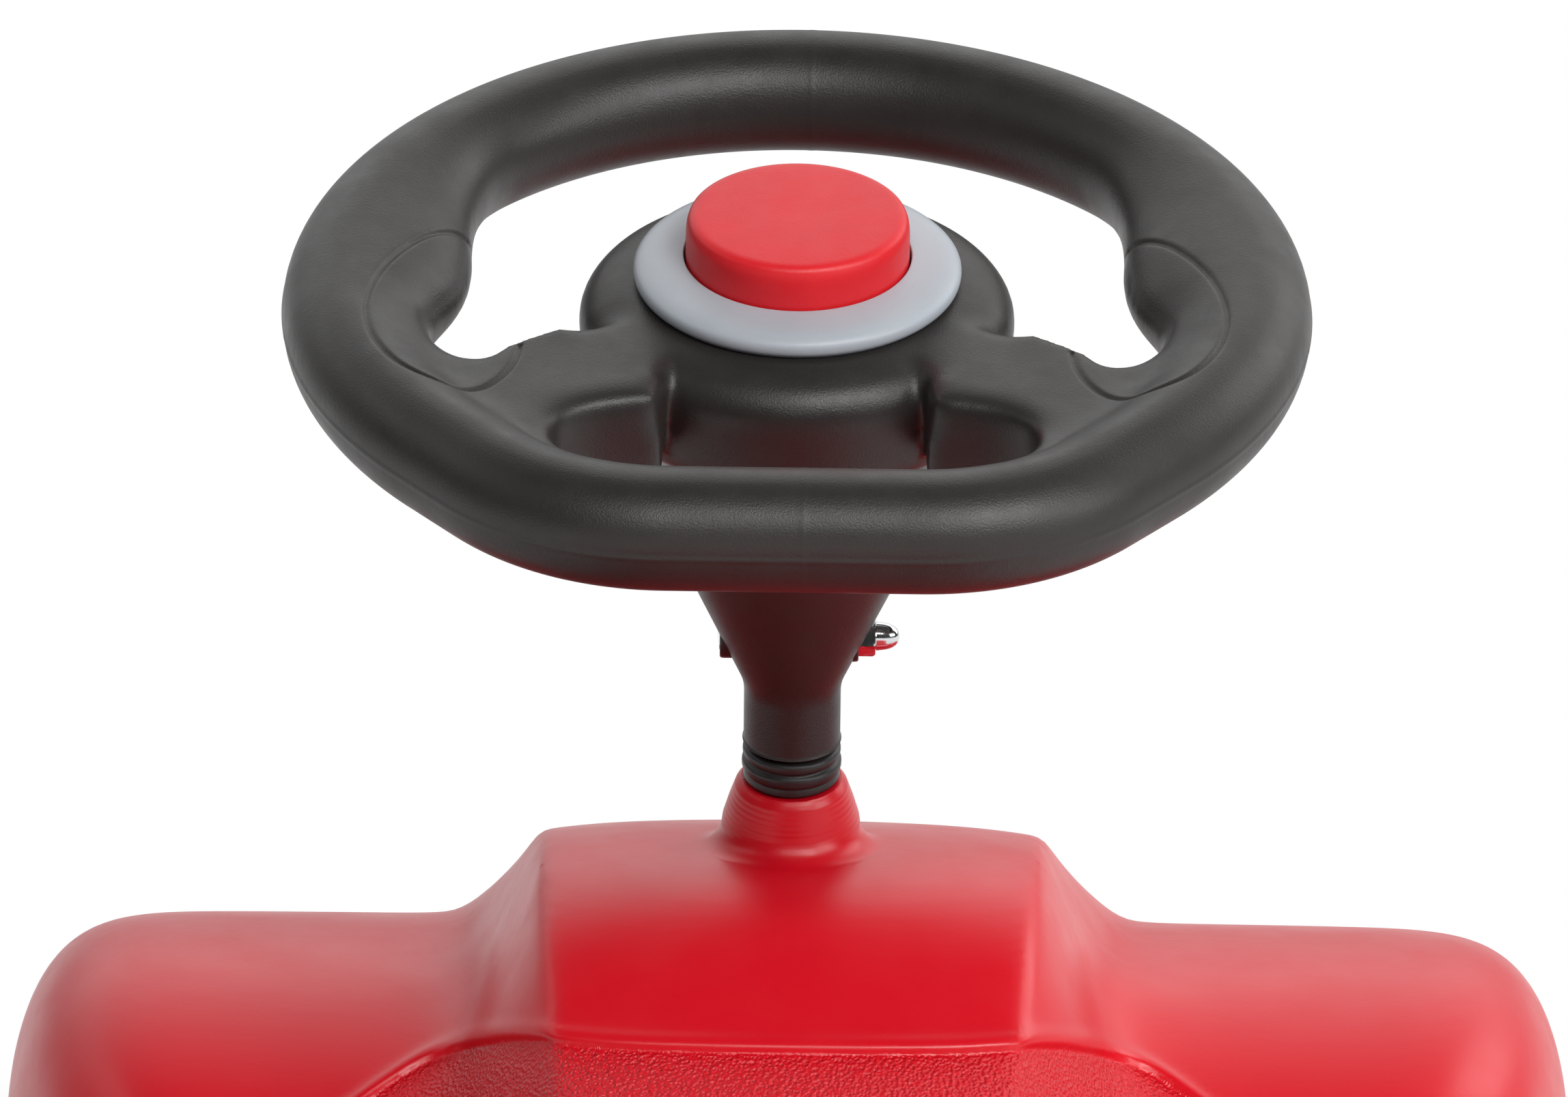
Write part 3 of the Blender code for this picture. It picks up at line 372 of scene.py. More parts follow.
def insideLoop(points, loop):
    inside = np.zeros(len(points), bool)
    for (x0, y0), (x1, y1) in zip(loop, np.roll(loop, -1, 0)):
        crosses = (y0 > points[:, 1]) != (y1 > points[:, 1])
        with np.errstate(divide="ignore", invalid="ignore"):
            at = (x1 - x0) * (points[:, 1] - y0) / (y1 - y0) + x0
        inside ^= crosses & (points[:, 0] < at)
    return inside


def depthIn(points, loop):  # how far inside the loop each point is, in plan
    return distanceTo(points, loop, True) * np.where(insideLoop(points, loop), 1, -1)


def ramp(value, low, high):
    t = np.clip((value - low) / (high - low), 0, 1)
    return t * t * (3 - 2 * t)


def pointsOf(mesh, what="co"):
    flat = np.empty(len(mesh.vertices) * 3)
    mesh.vertices.foreach_get(what, flat)
    return flat.reshape(-1, 3)


def normalsOf(mesh):
    return pointsOf(mesh, "normal")


def setPoints(mesh, points):
    mesh.vertices.foreach_set("co", points.ravel())
    mesh.update()


def relax(mesh, weight, rounds):  # evens the surface out, by a weight for each point
    ends = np.empty(len(mesh.edges) * 2, np.int32)
    mesh.edges.foreach_get("vertices", ends)
    first, second = ends.reshape(-1, 2).T
    points = pointsOf(mesh)
    count = len(points)
    joins = np.maximum(np.bincount(ends, minlength=count), 1)
    for _ in range(rounds):
        sums = [
            np.bincount(first, p[second], count) + np.bincount(second, p[first], count) for p in points.T]
        points += 0.5 * weight[:, None] * (np.stack(sums, 1) / joins[:, None] - points)
    setPoints(mesh, points)


def finerWhere(mesh, wanted, cuts=1):  # splits the faces whose points are all wanted
    bm = bmesh.new()
    bm.from_mesh(mesh)
    bm.verts.ensure_lookup_table()
    edges = {e for f in bm.faces if all(wanted[v.index] for v in f.verts) for e in f.edges}
    bmesh.ops.subdivide_edges(bm, edges=list(edges), cuts=cuts, use_grid_fill=True, smooth=0.0)
    bmesh.ops.triangulate(bm, faces=[f for f in bm.faces if len(f.verts) > 4])
    bm.to_mesh(mesh)
    bm.free()


# steering wheel

steeringWheel = dict(
    rimRadius=0.0860, tubeRadius=0.0117, cornerRadius=0.043, cornerOffset=0.024, flatDistance=0.0812,
    webTop=0.0068, webBottom=-0.0125, webEase=0.0042, voxel=0.00095, easing=5, blendRounds=45,
    slotRounds=48, panelDish=0.0006, lineDepth=0.00060, lineWidth=0.00058, seamHeight=0.00016,
    markAt=0.0020, markHeight=0.000048,
    lobe=(  # degrees round the rim, and how far the grip swells inwards there
        (-60, 0), (-36, 0), (-22, 0.0036), (-10.2, 0.0040), (-5.9, 0.0063), (0.9, 0.0103), (11.8, 0.0110),
        (18, 0.0090), (23.5, 0.0068), (28.7, 0.0045), (33, 0.0027), (38, 0.0008), (43, 0), (60, 0)))


def rimLoop(size, steps):
    cornerY = size["cornerRadius"] - size["flatDistance"]
    reach = math.hypot(size["cornerOffset"], cornerY)
    lean = math.degrees(math.atan2(cornerY, size["cornerOffset"]))
    meet = lean + math.degrees(math.acos((size["rimRadius"] - size["cornerRadius"]) / reach))
    crown = arc((0, 0), size["rimRadius"], meet, 180 - meet, round(steps * (180 - 2 * meet) / 360))
    corner = round(steps * (90 + meet) / 360)
    left = arc((-size["cornerOffset"], cornerY), size["cornerRadius"], 180 - meet, 270, corner)
    right = arc((size["cornerOffset"], cornerY), size["cornerRadius"], -90, meet, corner)
    return crown[:-1] + left + right[:-1]


def rimMesh(size, steps, sides):  # round tube whose inner half swells into the two thumb lobes
    bm = bmesh.new()
    loop = np.array(rimLoop(size, steps))
    ahead = np.roll(loop, -1, 0) - np.roll(loop, 1, 0)
    out = np.stack([ahead[:, 1], -ahead[:, 0]], 1) / np.linalg.norm(ahead, axis=1)[:, None]
    angles = math.tau * np.arange(sides) / sides
    heights = np.sin(angles) * size["tubeRadius"]
    rings = []
    for centre, normal in zip(loop, out):
        turn = math.degrees(math.atan2(centre[1], abs(centre[0])))
        swell = max(smoothLine(size["lobe"], min(max(turn, -60), 60)), 0)
        reaches = np.cos(angles) * (size["tubeRadius"] + swell * (np.cos(angles) < 0))
        rings.append([bm.verts.new((*(centre + reach * normal), z)) for reach, z in zip(reaches, heights)])
    skinRings(bm, rings, True)
    return meshFrom(bm, "rim")


def slotWall():  # the spoke's wall towards the rider, from its corner by the hub round the end of the slot
    return [
        (0.0250, -0.0430), (0.0325, -0.0445), (0.0390, -0.0464), (0.0434, -0.0492), (0.0456, -0.0532),
        (0.0450, -0.0588), (0.0415, -0.0645)]


def spokeLoop():  # right-hand spoke in plan: rim, notch, far edge, end by the hub, slot, back under the rim
    corner = slotWall()[0]
    return [
        (0.0830, -0.0020), (0.0760, -0.0060), (0.0712, -0.0105), (0.0694, -0.0150), (0.0682, -0.0200),
        (0.0655, -0.0250), (0.0610, -0.0278), (0.0560, -0.0264), (0.0527, -0.0240), (0.0500, -0.0220),
        (0.0415, -0.0163), (0.0240, -0.0138), (0.0240, -0.0160), (corner[0], corner[1] + 0.002),
        *slotWall(), (0.0400, -0.0770), (0.0600, -0.0620), *arc((0, 0), 0.0850, -36, -4, 5)]


def hubProfile():  # domed top of the hub and its bowl, closed below where the neck takes over
    return softened([
        (0, 0.0072, 0), (0.0318, 0.0072, 0.0004), (0.0350, 0.0062, 0.002), (0.0390, 0.0042, 0.003),
        (0.0418, -0.0004, 0.0035), (0.0388, -0.0168, 0.003), (0.0258, -0.0230, 0.003), (0, -0.0230, 0)])


def neckMesh():  # wall below the hub, cone and neck, hollow for the horn
    return turnedMesh("neck", softened([
        (0, -0.0270, 0), (0.0222, -0.0270, 0), (0.0222, -0.0040, 0), (0.0255, -0.0040, 0),
        (0.0255, -0.0444, 0.0012), (0.0093, -0.0812, 0.0024), (0.0093, -0.0938, 0.0003),
        (0.0096, -0.0943, 0.0002), (0.0086, -0.0948, 0.0003), (0, -0.0948, 0)]), 96, False, 30)


def bossMesh(size, turn):  # round boss with a pocket for the bolt's head or its nut
    boss = turnedMesh("boss", softened([
        (0, size["seat"], 0), (size["pocket"], size["seat"], 0), (size["pocket"], size["reach"], 0.0002),
        (size["radius"], size["reach"], 0.0009), (size["radius"], 0.004, 0), (0, 0.004, 0)]), 48, False, 30)
    boss.transform(turn)
    return boss


def panelLoop():  # the thumb panel's outline in plan, round the notch
    return smoothPath([
        (0.0617, 0.0210), (0.0665, 0.0165), (0.0717, 0.0102), (0.0771, 0.0001), (0.0801, -0.0090),
        (0.0815, -0.0195), (0.0802, -0.0303), (0.0758, -0.0396), (0.0708, -0.0440), (0.0645, -0.0456),
        (0.0586, -0.0424), (0.0548, -0.0370), (0.0527, -0.0310), (0.0520, -0.0255)], 3)


def easeJoins(mesh, size):  # lets the spokes run into the rim and the hub
    points = pointsOf(mesh)
    plan = np.stack([np.abs(points[:, 0]), points[:, 1]], 1)
    loop = np.array(rimLoop(size, 120))
    inward = depthIn(points[:, :2], loop)
    turn = np.degrees(np.arctan2(plan[:, 1], plan[:, 0]))
    reach = np.hypot(plan[:, 0], plan[:, 1])
    atRim = ramp(inward, 0.001, 0.004) * (1 - ramp(inward, 0.020, 0.026))
    atRim *= ramp(turn, -64, -58) * (1 - ramp(turn, -12, -6))
    atHub = 1 - ramp(np.abs(reach - 0.0400), 0.004, 0.009)
    atHub *= ramp(plan[:, 0], 0.020, 0.027) * ramp(-plan[:, 1], 0.006, 0.012)
    wall = distanceTo(plan, np.array(slotWall()))
    upper = ramp(points[:, 2], -0.004, 0.001)
    relax(mesh, np.maximum(atRim, atHub) * ramp(wall, 0.004, 0.009) * upper, size["blendRounds"])
    relax(mesh, (1 - ramp(wall, 0.003, 0.008)) * ramp(inward, 0.010, 0.014) * upper, size["slotRounds"])


def markSteeringWheel(mesh, size):  # panel lines, parting line and the two moulding marks
    panel = panelLoop()
    loop = np.array(rimLoop(size, 200))

    def places(points):
        plan = np.stack([np.abs(points[:, 0]), points[:, 1]], 1)
        inside = insideLoop(points[:, :2], loop)
        return plan, distanceTo(plan, panel), inside, distanceTo(points[:, :2], loop, True)

    points = pointsOf(mesh)
    plan, line, inside, away = places(points)
    nearLine = (line < 0.0022) & (points[:, 2] > 0.001)
    nearSeam = ~inside & (np.abs(points[:, 2]) < 0.0022) & (away > 0.009)
    nearMark = (np.abs(points[:, 0] - size["markAt"]) < 0.0024) & (away < 0.013)
    finerWhere(mesh, nearLine | nearSeam | nearMark, 2)
    points = pointsOf(mesh)
    normals = normalsOf(mesh)
    plan, line, inside, away = places(points)
    top = ramp(normals[:, 2], 0.05, 0.45) * (points[:, 2] > -0.001)
    region = insideLoop(plan, np.vstack([panel, [(0.050, -0.015), (0.050, 0.015)]]))
    sunk = np.where(region, ramp(line, 0.0, 0.008), 0.0) * size["panelDish"]
    sunk += np.exp(-(line / size["lineWidth"]) ** 2) * size["lineDepth"]
    raised = np.exp(-(points[:, 2] / 0.0005) ** 2) * (~inside & (away > 0.0085)) * size["seamHeight"]
    mark = np.exp(-((points[:, 0] - size["markAt"]) / 0.0006) ** 2) * (away < 0.0125)
    raised += mark * size["markHeight"]
    setPoints(mesh, points + normals * (raised - top * sunk)[:, None])


def drilled(mesh, *cutters):
    carriers = [addObject("cutter", cutter) for cutter in cutters]
    cuts = [("BOOLEAN", dict(operation="DIFFERENCE", object=carrier)) for carrier in carriers]
    cut = bakedMesh(mesh.name, mesh, *cuts)
    for carrier in carriers:
        bpy.data.objects.remove(carrier)
    return cut


clamp = dict(
    drop=-0.0715, nut=dict(seat=0.0118, reach=0.0126, pocket=0.0042, radius=0.0050),
    head=dict(seat=0.0116, reach=0.0140, pocket=0.0038, radius=0.0046))


def clampPlace(side):  # local Z along the bolt, towards the nut for 1 and the head for -1
    return placed((0, 0, clamp["drop"]), side * math.pi / 2, "Y")


def buildSteeringWheel(size):
    parts = [rimMesh(size, 260, 48), turnedMesh("hub", hubProfile(), 96)]
    spoke = smoothLoop(spokeLoop(), 2)
    for side in (1, -1):
        outline = [(side * x, y) for x, y in spoke]
        parts.append(prismMesh("spoke", outline, size["webBottom"], size["webTop"], size["webEase"]))
    mesh = fusedMesh("steeringWheel", parts, size)
    easeJoins(mesh, size)
    markSteeringWheel(mesh, size)
    mesh.shade_smooth()
    mesh = drilled(mesh, plugMesh(0.0221, 0.02, -0.027, 64))  # the horn's well
    rooms = []
    bosses = []
    for side, hold in ((1, clamp["nut"]), (-1, clamp["head"])):
        rooms.append(plugMesh(hold["pocket"], 0.03, hold["seat"], 48, clampPlace(side)))
        bosses.append(bossMesh(hold, clampPlace(side)))
    wheel = joinedMesh("steeringWheel", [mesh, drilled(neckMesh(), *rooms), *bosses])
    wheel.set_sharp_from_angle(angle=math.radians(50))
    return wheel


wheelMesh = buildSteeringWheel(steeringWheel)
showPiece("steeringWheel", wheelMesh, finishes["grip"], "steering", "steering_wheel", wheelPlace)
print("steering wheel:", len(wheelMesh.polygons), "faces")

# horn

hornParts = dict(
    ring=softened([
        (0.0216, 0.0073, 0), (0.0216, 0.0128, 0.0004), (0.0250, 0.0123, 0.001), (0.0290, 0.0117, 0.002),
        (0.0311, 0.0104, 0.0014), (0.0311, 0.0084, 0.0008), (0.0300, 0.0073, 0), (0.0216, 0.0073, 0)])[:-1],
    button=softened([
        (0, 0.0216, 0), (0.0120, 0.0216, 0.006), (0.0203, 0.0213, 0.0017), (0.0212, 0.0193, 0.0016),
        (0.0213, 0.0000, 0.0004), (0.0188, 0.0000, 0.0004), (0.0186, 0.0176, 0.001), (0, 0.0178, 0)], 7),
)
ringMesh = turnedMesh("hornRing", hornParts["ring"], 128, True, 60)
showPiece("hornRing", ringMesh, finishes["ring"], "steering", "horn_ring", wheelPlace)
buttonMesh = turnedMesh("hornButton", hornParts["button"], 128, False, 60)
showPiece("hornButton", buttonMesh, finishes["button"], "horn_button", "horn_button", wheelPlace)


def bellowsMesh(size):
    outer = [(0, size["top"], 0), (size["radius"] - size["swell"], size["top"], 0.001)]
    pitch = (size["top"] - size["low"]) / (2 * size["ribs"])
    for k in range(1, 2 * size["ribs"]):
        outer.append((size["radius"] - (0 if k % 2 else size["swell"]), size["top"] - k * pitch, 0.002))
    outer.append((size["radius"] - size["swell"], size["low"], 0.0005))
    wall = size["wall"]
    inner = [(max(r - wall, 0), z - (wall if i < 2 else 0), ease) for i, (r, z, ease) in enumerate(outer)]
    inner[-1] = (inner[-1][0], size["low"], 0)
    return turnedMesh("hornBellows", softened(outer) + softened(inner)[::-1], 48, False, 60)


bellows = dict(top=0.0172, low=-0.0227, radius=0.0150, swell=0.003, ribs=3, wall=0.0015, pressed=0.845)
bellowsSkin = bellowsMesh(bellows)
bellowsPiece = showPiece(
    "hornBellows", bellowsSkin, finishes["bellows"], "steering", "horn_bellows", wheelPlace)
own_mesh(bellowsPiece)
print("horn: ring, button, bellows")

# cap nut and column collar


def capNutMesh(size):
    flats = size["acrossFlats"] / 2
    steps = 48
    top, dome, corner = size["hex"], size["dome"], flats * 1.1547
    levels = [  # (radius, height, 1 where the section has six sides)
        (0.0022, 0.0, 0), (flats * 1.12, 0.0, 1), (corner, 0.0005, 1), (corner, top - 0.0006, 1),
        (flats * 1.06, top - 0.0001, 1), (dome * 1.04, top + 0.0001, 0), (dome * 1.02, top + 0.0006, 0)]
    rise = size["height"] - top - 0.0006
    for a in np.radians(np.linspace(8, 84, 8)):
        levels.append((dome * math.cos(a) ** 0.8, top + 0.0006 + rise * math.sin(a), 0))
    bm = bmesh.new()
    rings = []
    for radius, z, hexed in levels:
        ring = []
        for k in range(steps):
            a = math.tau * k / steps
            reach = radius
            if hexed:
                turn = (a + math.pi / 6) % (math.pi / 3) - math.pi / 6
                reach = min(radius, flats / math.cos(turn))
            ring.append(bm.verts.new((reach * math.cos(a), reach * math.sin(a), z)))
        rings.append(ring)
    skinRings(bm, rings)
    bm.faces.new(rings[-1])
    bm.faces.new(rings[0])
    return meshFrom(bm, "capNut", 30)


capNut = dict(acrossFlats=0.0068, hex=0.0038, dome=0.0027, height=0.0083, foot=0.0121)
nutPlace = wheelPlace @ clampPlace(1) @ Matrix.Translation((0, 0, capNut["foot"]))
nutMesh = capNutMesh(capNut)
showPiece("capNut", nutMesh, finishes["brightSteel"], "steering", "cap_nut", nutPlace)

collarProfile = softened([
    (0.0054, -0.0953, 0), (0.0084, -0.0953, 0.0005), (0.0094, -0.0958, 0.0006),
    (0.0095, -0.0972, 0.0006), (0.0088, -0.0978, 0.0003), (0.0088, -0.0981, 0.0003),
    (0.0096, -0.0987, 0.0006), (0.0096, -0.1003, 0.0006), (0.0090, -0.1009, 0.0003),
    (0.0092, -0.1014, 0.0003), (0.0093, -0.1024, 0.0004), (0.0089, -0.1028, 0.0002),
    (0.0075, -0.1028, 0.0002), (0.0075, -0.1168, 0.0003), (0.0054, -0.1168, 0), (0.0054, -0.0953, 0)])
collarMesh = turnedMesh("columnCollar", collarProfile[:-1], 96, True, 50)
showPiece("columnCollar", collarMesh, finishes["bush"], "chassis", "column_collar", wheelPlace)
print("cap nut and collar done")

# body shell

body = dict(
    halfLength=0.300, halfWidth=0.1545, humpTop=0.2512, seat=0.187, fenderTop=0.2203, clearance=0.045,
    nose=0.136, humpShoulder=0.0480, flankFoot=0.0635, sillInset=0.008, floorInset=0.026,
    shoulderRound=0.014, crease=0.75, footCrease=0.4, level=3, voxel=0.0016, easing=5, arch=0.072,
    archRear=0.068, pocket=0.0755, across=0.22, lip=0.0004, recess=0.0011, bore=0.0078)
body["hip"] = body["seat"] + 0.002
body["back"] = body["seat"] + 0.036
body["sill"] = body["clearance"] + 0.022
bodyStations = (
    -1, -0.955, -0.86, -0.73, -0.57, -0.38, -0.18, 0.0, 0.12, 0.20, 0.27, 0.35, 0.46, 0.58, 0.70, 0.82,
    0.93, 1)


def bodyLines(b):  # (share of half the length, value) from tail to nose
    top, seat, fender, hip, back = b["humpTop"], b["seat"], b["fenderTop"], b["hip"], b["back"]
    shoulder, foot, wide, nose = b["humpShoulder"], b["flankFoot"], b["halfWidth"], b["nose"]
    return dict(
        crown=(
            (-1, 0.150), (-0.93, back - 0.020), (-0.80, back), (-0.66, seat + 0.022), (-0.48, seat + 0.006),
            (-0.28, seat), (-0.08, seat + 0.005), (0.08, seat + 0.023), (0.20, top - 0.021),
            (0.27, top - 0.006), (0.34, top + 0.001), (0.46, top - 0.0005), (0.56, top - 0.007),
            (0.70, top - 0.029), (0.84, top - 0.064), (0.94, 0.158), (1, nose)),
        shoulder=(
            (-1, 0.030), (-0.80, 0.058), (-0.45, 0.062), (-0.10, 0.048), (0.16, 0.044), (0.35, shoulder),
            (0.60, shoulder + 0.001), (0.85, 0.050), (1, 0.034)),
        drop=(
            (-1, 0.006), (-0.6, 0.004), (-0.1, 0.006), (0.2, 0.004), (0.4, 0.003), (0.8, 0.004),
            (1, 0.006)),
        foot=(
            (-1, 0.055), (-0.80, 0.084), (-0.45, 0.082), (-0.10, 0.066), (0.10, 0.066), (0.22, 0.073),
            (0.36, foot), (0.60, foot), (0.85, 0.070), (1, 0.050)),
        fender=(
            (-1, 0.140), (-0.93, 0.172), (-0.80, hip), (-0.63, hip), (-0.46, hip - 0.014),
            (-0.22, hip - 0.034), (0.02, hip - 0.044), (0.16, hip - 0.022), (0.28, fender - 0.027),
            (0.38, fender - 0.008), (0.50, fender), (0.60, fender - 0.001), (0.71, fender - 0.011),
            (0.84, fender - 0.037), (0.94, 0.150), (1, nose - 0.014)),
        side=(
            (-1, 0.092), (-0.93, 0.122), (-0.80, 0.143), (-0.63, wide - 0.003), (-0.47, 0.144),
            (-0.30, 0.120), (-0.12, 0.096), (0.04, 0.091), (0.16, 0.106), (0.27, 0.131), (0.37, 0.147),
            (0.50, wide), (0.68, wide), (0.83, 0.145), (0.94, 0.124), (1, 0.094)),
        sideZ=(
            (-1, 0.115), (-0.6, 0.135), (0.0, 0.110), (0.3, 0.150), (0.55, 0.170), (0.8, 0.140),
            (1, 0.110)),
    )


def bodySection(b, lines, share):
    at = {key: smoothLine(points, share) for key, points in lines.items()}
    wanted = ("crown", "shoulder", "foot", "fender", "side", "sideZ")
    crown, shoulder, foot, fender, side, sideZ = (at[key] for key in wanted)
    edge = crown - at["drop"]
    low = b["clearance"]
    floorEdge = side - b["floorInset"]
    return [
        (0, crown), (0.70 * shoulder, crown - 0.25 * at["drop"]), (shoulder, edge),
        (0.40 * shoulder + 0.60 * foot, 0.40 * edge + 0.60 * fender), (foot, fender),
        (0.45 * foot + 0.55 * side, fender), (side - b["shoulderRound"], fender - 0.001),
        (side - 0.003, 0.60 * fender + 0.40 * sideZ), (side, sideZ), (side - b["sillInset"], b["sill"]),
        (floorEdge, low), (0.60 * floorEdge, low), (0, low)]


def bodyCage(b):
    bm = bmesh.new()
    creases = bm.edges.layers.float.new("crease_edge")
    lines = bodyLines(b)
    rings = []
    for share in bodyStations:
        half = bodySection(b, lines, share)
        loop = half + [(-x, z) for x, z in reversed(half[1:-1])]
        rings.append([bm.verts.new((x, share * b["halfLength"], z)) for x, z in loop])
    around = len(rings[0])
    skinRings(bm, rings)
    for share, ring, ahead in zip(bodyStations, rings, rings[1:]):
        if -0.1 < share < 0.75:  # the hump's shoulders
            for i in (2, around - 2):
                bm.edges.get((ring[i], ahead[i]))[creases] = b["crease"]
        if 0.4 < share < 0.75:  # where its flanks meet the mudguards
            for i in (4, around - 4):
                bm.edges.get((ring[i], ahead[i]))[creases] = b["footCrease"]
    for ring in (rings[0], rings[-1]):
        for i in range(around // 2):
            corners = [ring[i], ring[i + 1], ring[-i - 1], ring[-i % around]]
            bm.faces.new(list(dict.fromkeys(corners)))
    return meshFrom(bm, "bodyCage")


def archMesh(radius, swing, lift, y, near, far):  # round-topped wheel opening across the body
    below = -0.09
    ahead, behind = arc((swing, lift), radius, 0, 90, 20), arc((-swing, lift), radius, 90, 180, 20)
    outline = [(swing + radius, below), *ahead, *behind, (-swing - radius, below)]
    mesh = prismMesh("arch", outline, near, far, 0)
    turn = Matrix(((0, 0, 1), (1, 0, 0), (0, 1, 0))).to_4x4()
    mesh.transform(Matrix.Translation((0, y, road["height"])) @ turn)
    return mesh


def seatLoop():  # sides and back of the grained seat in plan, right half; the lip cuts its front
    half = [
        (0, 0.1500), (0.060, 0.1500), (0.0820, 0.1350), (0.0900, 0.1100), (0.0895, 0.0850),
        (0.0875, 0.0600), (0.0830, 0.0380), (0.0780, 0.0150), (0.0760, -0.0100), (0.0780, -0.0500),
        (0.0840, -0.0900), (0.0930, -0.1300), (0.0980, -0.1700), (0.0950, -0.2100), (0.0800, -0.2350),
        (0.0500, -0.2450), (0, -0.2480)]
    return smoothLoop(half + [(-x, y) for x, y in reversed(half[1:-1])], 2)


# the lip is a level line over the hump, cut by a wall that leans back; its edge is (across, up that wall)
seatLip = dict(
    lean=math.radians(15), corner=0.008, edge=(
        (0, 0.2367), (0.020, 0.2368), (0.034, 0.2371), (0.041, 0.2375), (0.047, 0.2378), (0.052, 0.2375),
        (0.058, 0.2362), (0.063, 0.2346), (0.070, 0.2318), (0.0785, 0.2263), (0.088, 0.2190),
        (0.160, 0.1600)))


def seatDepth(mesh, lip):  # how far each point lies inside the seat's edge, measured over the surface
    points = pointsOf(mesh)
    sides = depthIn(points[:, :2], seatLoop())
    up = np.array((0, math.sin(lip["lean"]), math.cos(lip["lean"])))
    places = np.linspace(0, 0.16, 161)
    edge = np.interp(np.abs(points[:, 0]), places, [smoothLine(lip["edge"], place) for place in places])
    front = (edge - points @ up) / np.sqrt(np.maximum(1 - (normalsOf(mesh) @ up) ** 2, 0.05))
    share = np.clip(0.5 + 0.5 * (front - sides) / lip["corner"], 0, 1)  # rounds the corner between them
    return front + (sides - front) * share - lip["corner"] * share * (1 - share)


spout = dict(  # side is (radius, depth below the top); what is above the top is cut off flat
    top=-0.1031, above=0.0036, foot=-0.1331, meets=-0.1178, fillet=0.0045,
    side=(
        (0.0087, -0.0036), (0.0097, 0), (0.0108, 0.0014), (0.0121, 0.0052), (0.0132, 0.0090),
        (0.0138, 0.0140)))


def spoutMesh(s):
    side = [(r, s["top"] - d, 0.0006) for r, d in s["side"]]
    ends = (s["side"][-1][0], s["foot"], 0), (0, s["foot"], 0)
    mesh = turnedMesh("spout", softened([(0, s["top"] + s["above"], 0), *side, *ends]), 96)
    mesh.transform(wheelPlace)
    return mesh


def hoodTerms(points):  # the terms of a gently curved sheet over the column's cross-plane
    x, y = points[:, 0], points[:, 1]
    return np.stack([np.ones(len(points)), x, y, x * x, x * y, y * y], 1)


def trueSpout(mesh, s):  # gives the spout its turned side and a round foot; returns where it is
    toColumn = np.array(wheelPlace.inverted())
    local = pointsOf(mesh) @ toColumn[:3, :3].T + toColumn[:3, 3]
    reach = np.hypot(local[:, 0], local[:, 1])
    level = np.abs(local[:, 2] - s["meets"]) < 0.014
    around = (reach > 0.0185) & (reach < 0.030) & level & (normalsOf(mesh)[:, 2] > 0.5)
    hood = np.linalg.lstsq(hoodTerms(local[around]), local[around, 2], rcond=None)[0]
    radii, depths = np.array(s["side"]).T
    out = reach - np.interp(s["top"] - local[:, 2], depths, radii)
    up = local[:, 2] - hoodTerms(local) @ hood
    ease = s["fillet"]
    inFoot = (out < ease) & (up < ease)
    draw = ease / np.maximum(np.hypot(out - ease, up - ease), 1e-9)
    newOut = np.where(inFoot, ease + (out - ease) * draw, np.where(up >= ease, 0, out))
    newUp = np.where(inFoot, ease + (up - ease) * draw, up)
    close = (np.hypot(newOut - out, newUp - up) < 0.0026) & (reach < 0.024) & (up > -0.002)
    weight = (1 - ramp(reach, 0.019, 0.024)) * close
    local[:, 2] += weight * (newUp - up)
    wanted = np.interp(s["top"] - local[:, 2], depths, radii) + newOut
    local[:, :2] *= (1 + weight * (wanted / np.maximum(reach, 1e-6) - 1))[:, None]
    back = np.array(wheelPlace)
    setPoints(mesh, local @ back[:3, :3].T + back[:3, 3])
    return ramp(up, 0.002, 0.005) * (reach < 0.016)


def buildBody(b):
    levels = dict(levels=b["level"], render_levels=b["level"])
    solid = bakedMesh("bodyShell", bodyCage(b), ("SUBSURF", levels))
    swing = (road["track"] + road["width"] / 2) * math.sin(column["swing"])
    inner = b["halfWidth"] - b["pocket"]
    far = b["across"]
    front = archMesh(b["arch"], swing, swing * math.sin(column["rake"]), road["frontY"], -far, far)
    rears = [archMesh(b["archRear"], 0, 0, road["rearY"], *ends) for ends in ((inner, far), (-far, -inner))]
    parts = [drilled(solid, front, *rears), spoutMesh(spout)]
    for side in (1, -1):
        reach = lamp["housing"]
        profile = softened([(0, 0, 0), (reach, 0, 0.003), (reach, -0.034, 0), (0, -0.034, 0)])
        housing = turnedMesh("housing", profile, 64)
        housing.transform(lampPlace(side))
        parts.append(housing)
    mesh = fusedMesh("bodyShell", parts, b)
    points = pointsOf(mesh)
    nearLip = (np.abs(seatDepth(mesh, seatLip)) < 0.005) & (points[:, 2] > 0.12)
    spoutFoot = np.array(wheelPlace @ Vector((0, 0, spout["meets"] + 0.006)))
    nearSpout = np.linalg.norm(points - spoutFoot, axis=1) < 0.027
    finerWhere(mesh, nearLip | nearSpout, 2)
    turned = trueSpout(mesh, spout)
    points = pointsOf(mesh)
    normals = normalsOf(mesh)
    upper = ramp(normals[:, 2], 0.05, 0.25) * (points[:, 2] > 0.12)
    line = seatDepth(mesh, seatLip)
    shape = b["lip"] * np.exp(-((line + 0.0016) / 0.0019) ** 2) - b["recess"] * ramp(line, -0.0005, 0.0009)
    setPoints(mesh, points + normals * (upper * shape)[:, None])
    for name, value in (("seat", upper * ramp(line, 0.0004, 0.0014)), ("turned", turned)):
        mesh.attributes.new(name, "FLOAT", "POINT").data.foreach_set("value", value.astype(np.float32))
    mesh.shade_smooth()
    return mesh


